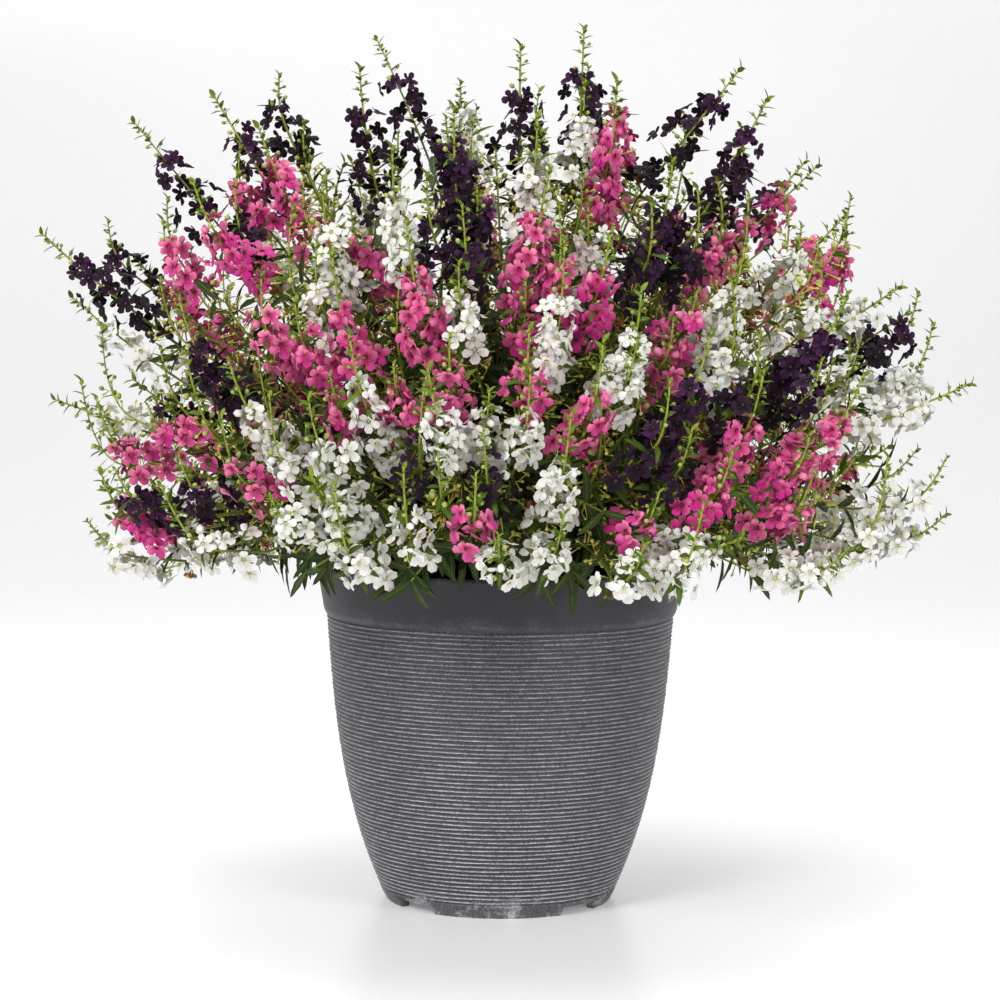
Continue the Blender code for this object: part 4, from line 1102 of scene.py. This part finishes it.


# The leaves: narrow, folded along the rib and finely toothed, in pairs up every shoot.
# They are thick low down and small at the tips; dark low down and inside the plant, partly as older
# leaves and partly as painted shade; and a bright new green at the tips.
# Leafy shoots that carry no flowers fill the plant between the flowering ones.

LEAF_LENGTH, LEAF_WIDTH, SMALL_LENGTH = 0.036, 0.20, 0.0250
LEAFY_SHOOTS, LEAFY_POINTS, LEAFY_LIFT, LEAFY_PAIRS, LEAFY_BARE = 176, 14, 0.10, 13, 3
SKIRT_SHOOTS, SKIRT_LIFT, SKIRT_PAIRS, SKIRT_BARE = 42, 0.09, 8, 5
LEAFY_THICK, LEAFY_SIDES = (0.0017, 0.0008), 5
STEM_PAIRS, LOW_STEM_PAIRS = 9, 14
BRACTS_EACH, RACEME_LEAVES = 12, 6
BRACT_SIZES, BRACT_SPREADS, BRACT_LIT_AND_FRESH = (0.0120, 0.0092, 0.0090), (0.40, 0.55, 0.95), (0.48, 0.80)


def leaf_shape(stations, width, fold, arch, teeth):
    """A blade one unit long: a rib with an edge on each side, tapering as a sine to both ends.

    The edges rise by the fold, the whole arches down as a square of the length, and every second
    station steps in to make teeth. It returns points, faces and each point's share and side.
    """
    t = np.linspace(0, 1, stations)
    half = width / 2 * np.sin(math.pi * np.clip(t, 0, 1) ** 0.8) ** 0.85 + 0.008
    half[1:-1] *= np.where(np.arange(1, stations - 1) % 2, 1 + teeth, 1 - teeth)
    half[-1] = 0.002
    x = np.stack([-half, np.zeros(stations), half], 1)
    y = np.repeat(t[:, None], 3, 1) - np.array((0.015, 0, 0.015))
    z = fold * np.abs(x) - arch * y**2
    points = np.stack([x, y, z], -1).reshape(-1, 3)
    values = {"share": np.repeat(t, 3), "side": np.tile((1.0, 0.0, 1.0), stations)}
    return points, [quads_between(stations, 3, False)], values


def copies(shape, places, frames, sizes, **numbers):
    """Every copy of a shape: its points turned into each frame, sized, and moved to its place.

    A frame's rows are the ways of the shape's own x, y and z. Numbers give each copy a value.
    """
    points, faces, values = shape
    sizes = np.asarray(sizes, float).reshape(len(places), -1)[:, None]
    moved = (points[None] * sizes) @ frames + np.asarray(places)[:, None]
    shift = (np.arange(len(places)) * len(points))[:, None, None]
    faces = [(part[None] + shift).reshape(-1, part.shape[1]) for part in faces]
    values = {key: np.tile(v, len(places)) for key, v in values.items()}
    for key, v in numbers.items():
        values[key] = np.repeat(np.broadcast_to(v, len(places)), len(points))
    return moved.reshape(-1, 3), faces, values


def leaf_frames(ways, out, spread, droop):
    """Frames of leaves that stand off a shoot: outwards and forwards by spread, a little drooped."""
    ahead = unit(ways)
    along = out * np.cos(spread)[:, None] + ahead * np.sin(spread)[:, None]
    along = unit(along - droop[:, None] * UP)
    over = unit(ahead - along * (ahead * along).sum(1)[:, None] + 1e-6)
    return np.stack([np.cross(along, over), along, over], 1)


def paired_leaves(line, count, first_turn):
    """Places, ways, outward directions and shares of leaves in crossed pairs along a line."""
    share = np.repeat(np.linspace(0.0, 1.0, count), 2)
    at = share * (len(line) - 1)
    low = np.minimum(at.astype(int), len(line) - 2)
    place = line[low] + (line[low + 1] - line[low]) * (at - low)[:, None]
    ways = line[low + 1] - line[low]
    leaf = np.arange(2 * count)
    turn = first_turn + leaf // 2 * math.pi / 2 + leaf % 2 * math.pi
    return place, ways, round_axis(ways, turn + chance.normal(0, 0.3, 2 * count)), share


leaf_green, nodes = new_paint("leaf_green", Specular_IOR_Level=0.22)
fresh, side = nodes.number("fresh"), nodes.number("side")
mottle = nodes.noise(nodes.place(), 240.0, 3.0)
# Painted shade mixed with leaf age: low values give the dark green of older leaves and of leaves in the
# plant's shade, high values the bright green of lit new tips.
old_and_shaded_green = nodes.mixed(nodes.ranged(fresh, 0.0, 0.5), (0.010, 0.020, 0.005), (0.066, 0.118, 0.008))
age_and_shade_green = nodes.mixed(nodes.ranged(fresh, 0.5, 1.0), old_and_shaded_green, (0.215, 0.30, 0.016))
rib = nodes.ranged(side, 0.0, 0.16, 0.38, 0.0, smooth=True)
lined = nodes.mixed(rib, age_and_shade_green, (0.20, 0.30, 0.05))
slant = nodes.maths("MULTIPLY_ADD", side, -0.16, nodes.number("share"))
veins = nodes.maths("SINE", nodes.product(slant, 62.0))
light = nodes.product(
    nodes.ranged(veins, 0.55, 1.0, 1.0, 1.3), nodes.ranged(nodes.number("tone"), 0.0, 1.0, 0.70, 1.30),
    nodes.ranged(mottle, 0.0, 1.0, 0.8, 1.2),
)
nodes.shade(
    bump=(veins, 0.35, 0.0005), Base_Color=nodes.scaled(lined, light),
    Roughness=nodes.ranged(mottle, 0.0, 1.0, 0.42, 0.62),
)

blades = [leaf_shape(9, LEAF_WIDTH, 0.35, 0.16, 0.10), leaf_shape(9, LEAF_WIDTH * 1.2, 0.5, 0.30, 0.13)]
small_blade = leaf_shape(7, LEAF_WIDTH * 1.1, 0.4, 0.20, 0.10)
bract = leaf_shape(5, 0.42, 0.35, 0.20, 0.05)
chance = np.random.default_rng(5)
leafy = {colour: [] for colour in COLOURS}
bare_lines = {colour: [] for colour in COLOURS}


def add_leaves(colour, shape, place, frames, size, fresh):
    """Gives a plant some leaves, each of a tone of its own."""
    tone = chance.uniform(0, 1, len(place))
    leafy[colour].append(copies(shape, place, frames, size, tone=tone, fresh=fresh))


for s, colour in enumerate(growth.colours):
    line = smooth_stem(s, np.linspace(0.30, 1.0, 30))
    pairs = LOW_STEM_PAIRS if line[-1][2] < LOW_DOWN else STEM_PAIRS
    place, ways, out, share = paired_leaves(line, pairs, s * 0.7)
    spread = chance.uniform(0.35, 0.85, len(place))
    frames = leaf_frames(ways, out, spread, chance.uniform(0, 0.35, len(place)))
    size = LEAF_LENGTH * chance.uniform(0.75, 1.15, len(place)) * (1.05 - 0.35 * share)
    add_leaves(colour, blades[s % 2], place, frames, size, 0.06 + 0.34 * share**2)

for r in racemes:
    along = chance.uniform(-0.02, r.flowers, RACEME_LEAVES)
    ways = np.tile(r.way, (RACEME_LEAVES, 1))
    out = round_axis(ways, GOLDEN_ANGLE * np.arange(RACEME_LEAVES) + chance.uniform(0, 6))
    spread, sag = chance.uniform(0.35, 0.85, RACEME_LEAVES), chance.uniform(0, 0.2, RACEME_LEAVES)
    size = SMALL_LENGTH * (1 - 0.35 * along / 0.11) * chance.uniform(0.75, 1.2, RACEME_LEAVES)
    frames = leaf_frames(ways, out, spread, sag)
    add_leaves(r.colour, small_blade, r.course(along), frames, size, 0.30 + 0.34 * along / 0.11)
    j = np.arange(BRACTS_EACH)
    along = r.flowers - 0.004 + (r.tip - r.flowers + 0.004) * (j / (BRACTS_EACH - 1)) ** 0.50
    ahead = r.heading(along)
    spread = np.interp(j, (0, BRACTS_EACH - 5, BRACTS_EACH - 1), BRACT_SPREADS)
    frames = leaf_frames(ahead, round_axis(ahead, GOLDEN_ANGLE * j), spread, np.zeros(BRACTS_EACH))
    size = np.interp(j, (0, 6, BRACTS_EACH), BRACT_SIZES) * chance.uniform(0.8, 1.2, BRACTS_EACH)
    size *= np.clip((r.tip - r.flowers) / 0.030, 0.55, 1)
    fresh = np.interp(j, (0, BRACTS_EACH), BRACT_LIT_AND_FRESH)
    add_leaves(r.colour, bract, r.course(along), frames, size, fresh)


def leafy_shoot(colour, turn, end, lift, bare, pairs, first_turn):
    """Draws a bare shoot from its crown, upwards at first, and places leaves past its first points."""
    root = crown_place(colour) + ROOT_RISE * UP + 0.012 * np.array((math.cos(turn), math.sin(turn), 0))
    bend = root + lift * UP + (end - root) * 0.25
    line = parabola(root, bend, end, LEAFY_POINTS)
    bare_lines[colour].append(line)
    return paired_leaves(line[bare:], pairs, first_turn)


for i in range(LEAFY_SHOOTS):
    colour = COLOURS[i % 3]
    level = 0.02 + 0.93 * ((i + 0.5) / LEAFY_SHOOTS) ** 1.25
    turn = GOLDEN_ANGLE * i + 0.8
    end = FOCUS + DOME * dome_ways(turn, level) * chance.uniform(0.44, 0.80) + 0.02 * UP
    place, ways, out, share = leafy_shoot(colour, turn, end, LEAFY_LIFT, LEAFY_BARE, LEAFY_PAIRS, i)
    spread = chance.uniform(0.2, 0.8, len(place))
    frames = leaf_frames(ways, out, spread, chance.uniform(0, 0.4, len(place)))
    size = LEAF_LENGTH * chance.uniform(0.9, 1.35, len(place)) * (1.1 - 0.35 * share)
    # Painted shade: the leaves of these shoots inside the plant are kept near the darkest green.
    add_leaves(colour, small_blade, place, frames, size, 0.11 * share)

for i in range(SKIRT_SHOOTS):
    turn = i * 2 * math.pi / SKIRT_SHOOTS + chance.normal(0, 0.06)
    colour = COLOURS[int(((math.degrees(turn) + 135) % 360) // 120)]
    end = around(chance.uniform(0.165, 0.275), turn, chance.uniform(0.286, 0.320))
    place, ways, out, share = leafy_shoot(colour, turn, end, SKIRT_LIFT, SKIRT_BARE, SKIRT_PAIRS, i)
    spread = chance.uniform(0.3, 0.9, len(place))
    frames = leaf_frames(ways, out, spread, chance.uniform(0.3, 1.1, len(place)))
    size = LEAF_LENGTH * chance.uniform(0.65, 1.10, len(place))
    add_leaves(colour, blades[0], place, frames, size, 0.02 + 0.14 * share)

for colour in COLOURS:
    make_piece(f"{colour}_leaves", gather(leafy[colour]), leaf_green, "green")
    points, faces, values = tubes(bare_lines[colour], np.linspace(*LEAFY_THICK, LEAFY_POINTS), LEAFY_SIDES)
    # Painted shade: these stems inside the plant reach only 0.7 of the way up the painted shade, so they
    # stay darker.
    values["share"] = 0.7 * values["share"]
    make_piece(f"{colour}_leafy_shoots", (points, faces, values), stem_green, "green")


# The buds and seed pods: round as peppercorns, on stalks of their own.
# Buds stand above the open florets and pale as they swell; pods stay green below them until they
# dry to straw yellow husks.

CLOSED_EACH = 2
POD_PALE = 0.3


def bud_shape(laps, sides):
    """A round bud one unit in radius: rings at each lap from its foot, drawn out to a blunt point."""
    lap = np.radians(laps)
    turn = np.arange(sides) * 2 * math.pi / sides
    ring = around(np.sin(lap)[:, None], turn, -np.cos(lap)[:, None] * 1.15)[..., [0, 2, 1]]
    points = np.vstack([ring.reshape(-1, 3), [(0, -1.05, 0), (0, 1.3, 0)]])
    values = {"share": np.append(np.repeat(lap / math.pi, sides), (0, 1))}
    return points, closed_rings(len(lap), sides, flipped=True), values


def upright_frames(ways):
    """Frames whose y runs along each way."""
    ways = unit(ways)
    side = round_axis(ways, np.zeros(len(ways)))
    return np.stack([side, ways, np.cross(side, ways)], 1)


bud_green, nodes = new_paint("bud_green", Roughness=0.5, Specular_IOR_Level=0.3)
pale = nodes.mixed(nodes.number("tone"), (0.13, 0.24, 0.022), (0.48, 0.50, 0.13))
capped = nodes.ranged(nodes.number("share"), 0.1, 0.55, 0.75, 0.0)
bud_tone = nodes.mixed(capped, pale, (0.07, 0.17, 0.02))
nodes.shade(
    bump=(nodes.noise(nodes.place(), 700.0, 2.0), 0.3, 0.0003),
    Base_Color=nodes.mixed(nodes.number("spent"), bud_tone, (0.70, 0.62, 0.13)),
)

ball = bud_shape((58, 122), 6)
shapes = {"bud": ball, "pod": bud_shape((90,), 4)}
for colour in COLOURS:
    parts = []
    for r in (r for r in racemes if r.colour == colour):
        for kind, given, dry in (("bud", r.bud, 0.0), ("pod", r.pod, r.pod["dry"])):
            shown = slice(CLOSED_EACH if kind == "bud" and r.florets else 0, None)
            place, size = given["place"][shown], given["size"][shown]
            frames = upright_frames(place - given["foot"][shown])
            pale = np.linspace(0.9, 0.1, len(place)) if kind == "bud" else POD_PALE
            tone = np.clip(pale + chance.uniform(-0.25, 0.15, len(place)), 0, 1)
            parts.append(copies(shapes[kind], place, frames, size, tone=tone, spent=dry))
    make_piece(f"{colour}_buds", gather(parts), bud_green, "green")


# The florets: small five-lobed snapdragon flowers, one to two dozen or more round each raceme.
# Two upper lobes and three lower ones spread from a short hooded throat, thin and satiny. White
# ones have a yellow-green throat, pink ones deepen to magenta, purple ones are nearly black.

# How far out the five points of each lobe are, from its notch round, their turns as shares of a
# lobe, and how far aside they lie; then the lobes' lengths and how far each tips up.
LOBE_REACH, LOBE_TURNS = np.array((0.44, 0.82, 1.02, 1.02, 0.82)), np.array((0.0, 0.11, 0.345, 0.655, 0.89))
LOBE_ASIDE = np.array((0.0, 0.9, 0.35, 0.35, 0.9))
LOBE_LENGTHS, LOBE_TIPS = np.array((0.84, 1.0, 1.12, 1.0, 0.84)), np.array((0.14, 0, -0.06, 0, 0.14))
RING_SHARES = np.array((0.3, 0.66, 1.0))
FLORET_FORMS = ((0.6, 0.5), (1.4, 0.3), (0.1, 0.9), (1.0, 0.8), (0.3, 0.4), (1.8, 0.6))
FINE_RINGS, PLAIN_RINGS = [0, 1, 2], [0, 2]

# Each petal's colours from its throat out, and how strongly its veins and lower lobes are marked.
PETAL_MARKS = {
    "white": {
        "Throat": (0.60, 0.64, 0.20), "Ring": (0.76, 0.78, 0.46), "Blade": (0.84, 0.84, 0.74),
        "Edge": (0.87, 0.87, 0.83), "Other Edge": (0.77, 0.76, 0.71), "Veining": 0.10, "Two Tone": 1.0,
    },
    "pink": {
        "Throat": (0.17, 0.03, 0.05), "Ring": (0.55, 0.05, 0.14), "Blade": (0.72, 0.045, 0.23),
        "Edge": (0.95, 0.26, 0.44), "Other Edge": (0.60, 0.006, 0.25), "Veining": 0.24, "Two Tone": 1.0,
    },
    "purple": {
        "Throat": (0.14, 0.11, 0.05), "Ring": (0.03, 0.008, 0.03), "Blade": (0.012, 0.006, 0.011),
        "Edge": (0.009, 0.006, 0.009), "Other Edge": (0.100, 0.012, 0.105), "Veining": 0.3, "Two Tone": 0.0,
    },
}

# Each petal's roughness, specular level and sheen.
PETAL_FINISH = {"white": (0.55, 0.22, 0.04), "pink": (0.5, 0.22, 0.12), "purple": (0.55, 0.12, 0.04)}


def floret_shape(cup, curl, seed, rings):
    """An open floret one unit in radius: rings of 25 points from its throat to its outline.

    Five points make each lobe round: the notch beside it, two on its first side and two on its
    second. The middle ring rises by the cup, the sides fall by the curl, and each lobe tips its
    own way.
    """
    chance = np.random.default_rng(seed)
    step = np.arange(25)
    corner, lobe = step % 5, step // 5
    reach, away, notch = LOBE_REACH[corner], LOBE_ASIDE[corner], corner == 0
    turn = (lobe + LOBE_TURNS[corner]) * 2 * math.pi / 5
    length = (LOBE_LENGTHS * chance.uniform(0.92, 1.08, 5))[lobe]
    tip = np.where(notch, 0, (LOBE_TIPS + chance.uniform(-0.30, 0.34, 5))[lobe])
    swing = np.where(notch, 0, chance.normal(0, 0.05, 5)[lobe])
    radius = np.stack([np.full(25, 0.20), (0.30 + 0.32 * reach) * length, reach * length])
    height = np.stack([
        np.full(25, -0.03), 0.13 * cup - 0.10 * curl * away - np.where(notch, 0.05, 0),
        0.10 * cup + tip * reach - 0.26 * curl * away - np.where(notch, 0.08, 0),
    ])
    angle = turn + swing * np.array((0.3, 0.8, 1.0))[:, None]
    ring = around(radius, angle, height)[..., [1, 0, 2]][rings]
    points = np.vstack([ring.reshape(-1, 3), [(0, 0.02, -0.20)]])
    fan = np.stack([(step + 1) % 25, step, np.full(25, 25 * len(rings))], -1)
    upper = np.append(np.tile(0.5 + 0.5 * np.cos(turn), len(rings)), 0.5)
    values = {"share": np.append(np.repeat(RING_SHARES[rings], 25), 0.0), "upper": upper}
    return points, [quads_between(len(rings), 25, True)[:, ::-1], fan], values


def patterned(shape):
    """A floret with its flat pattern: its turn in lobes across, its share from throat to edge up."""
    points, faces, values = shape
    turn = np.arctan2(points[:, 0], points[:, 1]) / (2 * math.pi) % 1
    turn[-1] = 0.5
    return points, faces, {**values, "turn": turn, "rise": values["share"]}


def petal_marks():
    """The node group of a petal's colour: throat, ring, blade and edge, with fine veins."""
    group = bpy.data.node_groups.new("petal_marks", "ShaderNodeTree")
    for name in ("Throat", "Ring", "Blade", "Edge", "Other Edge"):
        group.interface.new_socket(name, in_out="INPUT", socket_type="NodeSocketColor")
    for name in ("Veining", "Two Tone"):
        group.interface.new_socket(name, in_out="INPUT", socket_type="NodeSocketFloat")
    group.interface.new_socket("Color", in_out="OUTPUT", socket_type="NodeSocketColor")
    group.interface.new_socket("Height", in_out="OUTPUT", socket_type="NodeSocketFloat")
    given = group.nodes.new("NodeGroupInput").outputs
    result = group.nodes.new("NodeGroupOutput").inputs
    nodes = Nodes(group)
    share = nodes.number("share")
    lower = nodes.maths("MULTIPLY_ADD", nodes.number("upper"), -0.95, 0.72)
    lower = nodes.product(lower, given["Two Tone"])
    deeper = nodes.maths("MULTIPLY_ADD", nodes.number("tone"), 0.60, lower)
    edge = nodes.mixed(deeper, given["Edge"], given["Other Edge"])
    blade = nodes.mixed(nodes.ranged(share, 0.36, 0.84, smooth=True), given["Blade"], edge)
    ringed = nodes.mixed(nodes.ranged(share, 0.20, 0.38, smooth=True), given["Ring"], blade)
    throat = nodes.mixed(nodes.ranged(share, 0.04, 0.22, smooth=True), given["Throat"], ringed)
    flat = nodes.add("ShaderNodeUVMap", {"uv_map": "UVMap"}).outputs[0]
    rays = nodes.add("ShaderNodeMapping", Vector=flat, Scale=(60, 2.5, 1)).outputs[0]
    vein = nodes.noise(rays, 1.0, 2.0)
    veined = nodes.product(nodes.ranged(vein, 0.38, 0.62, 1.0, 0.0), given["Veining"])
    patch = nodes.ranged(nodes.noise(nodes.place(), 330.0, 2.0), 0.0, 1.0, 0.10, -0.10)
    keep = nodes.maths("SUBTRACT", 1.0, nodes.maths("ADD", veined, patch))
    group.links.new(nodes.scaled(throat, keep), result["Color"])
    group.links.new(vein, result["Height"])
    return group


marks = petal_marks()
petal_paint = {}
for colour, marked in PETAL_MARKS.items():
    gloss, shine, sheen = PETAL_FINISH[colour]
    petal_paint[colour], nodes = new_paint(
        f"{colour}_petal", Roughness=gloss, Specular_IOR_Level=shine, Sheen_Weight=sheen,
        Sheen_Roughness=0.5,
    )
    petal = nodes.add("ShaderNodeGroup", {"node_tree": marks})
    for key, value in marked.items():
        petal.inputs[key].default_value = (*value, 1) if isinstance(value, tuple) else value
    nodes.shade(bump=(petal.outputs["Height"], 0.25, 0.0006), Base_Color=petal.outputs["Color"])

fine_shapes, plain_shapes = (
    [patterned(floret_shape(*form, 40 + i, rings)) for i, form in enumerate(FLORET_FORMS)]
    for rings in (FINE_RINGS, PLAIN_RINGS)
)
ball_share = ball[2]["share"]
closed = (*ball[:2], {
    "share": 0.5 + 0.5 * ball_share, "upper": np.full(len(ball_share), 0.9), "turn": ball_share,
    "rise": ball_share,
})


def florets_of(some, shapes):
    """All florets of some racemes as one shape with its flat pattern, their topmost buds too."""
    parts = []
    for r in some:
        f = r.floret
        frames = np.stack([np.cross(f["up"], f["facing"]), f["up"], f["facing"]], 1)
        kind = chance.integers(0, len(shapes), r.florets)
        hue = np.clip(chance.beta(1.3, 2.2) + chance.normal(0, 0.22, r.florets), 0, 1)
        if r.colour == "purple":
            hue = 0.45 * hue + 0.75 * np.clip(f["along"] / r.flowers, 0, 1) ** 4
        for k, shape in enumerate(shapes):
            chosen = kind == k
            if chosen.any():
                place, size = f["centre"][chosen], f["size"][chosen]
                parts.append(copies(shape, place, frames[chosen], size, tone=hue[chosen]))
        place, foot, size = (r.bud[key][:CLOSED_EACH] for key in ("place", "foot", "size"))
        tone = chance.uniform(0, 1, CLOSED_EACH)
        parts.append(copies(closed, place, upright_frames(place - foot), size * 1.25, tone=tone))
    points, faces, values = gather(parts)
    uv = np.stack([values.pop("turn") + values["tone"] * 3.1, values.pop("rise")], 1)
    return points, faces, values, uv


seen = dict.fromkeys(COLOURS, 0)
for s, colour in enumerate(growth.colours):
    seen[colour] += 1
    node = f"{colour}_spray_{seen[colour]:02d}"
    mine = [r for r in racemes if r.shoot == s]
    flowers = florets_of(mine, fine_shapes if mine[0].way[1] < 0.3 else plain_shapes)
    make_piece(f"{node}_florets", flowers, petal_paint[colour], f"{colour}_petals", [node])
for colour in COLOURS:
    side_ones = [r for r in racemes if r.shoot is None and r.florets and r.colour == colour]
    flowers = florets_of(side_ones, plain_shapes)
    make_piece(f"{colour}_side_racemes", flowers, petal_paint[colour], f"{colour}_petals")


# The wilted florets: a few that have shrivelled and turned brown.
# One hangs below the open flowers of each raceme, crumpled and dry, about to fall from its stalk.

WILTED_SIZE, WILTED_STALK = (0.0040, 0.0065), (0.008, 0.017)

wilted_brown, nodes = new_paint("wilted_brown", Roughness=0.8, Specular_IOR_Level=0.2)
dried = nodes.noise(nodes.place(), 420.0, 3.0)
nodes.shade(
    bump=(dried, 0.6, 0.0006), Base_Color=nodes.mixed(dried, (0.10, 0.035, 0.012), (0.46, 0.22, 0.08)),
)
shrivelled = floret_shape(3.0, 2.4, 90, PLAIN_RINGS)
parts = []
for r in racemes:
    along = r.first + chance.uniform(-0.025, 0.010, 1)
    out = round_axis(r.way[None], chance.uniform(0, 6.28, 1))
    place = r.course(along) + out * chance.uniform(*WILTED_STALK, 1)[:, None]
    ways = unit(out + chance.normal(0, 0.4, (1, 3)) - 0.5 * UP)
    frames = upright_frames(ways)[:, [0, 2, 1]]
    parts.append(copies(shrivelled, place, frames, chance.uniform(*WILTED_SIZE, 1)))
make_piece("wilted_florets", gather(parts), wilted_brown, "green")
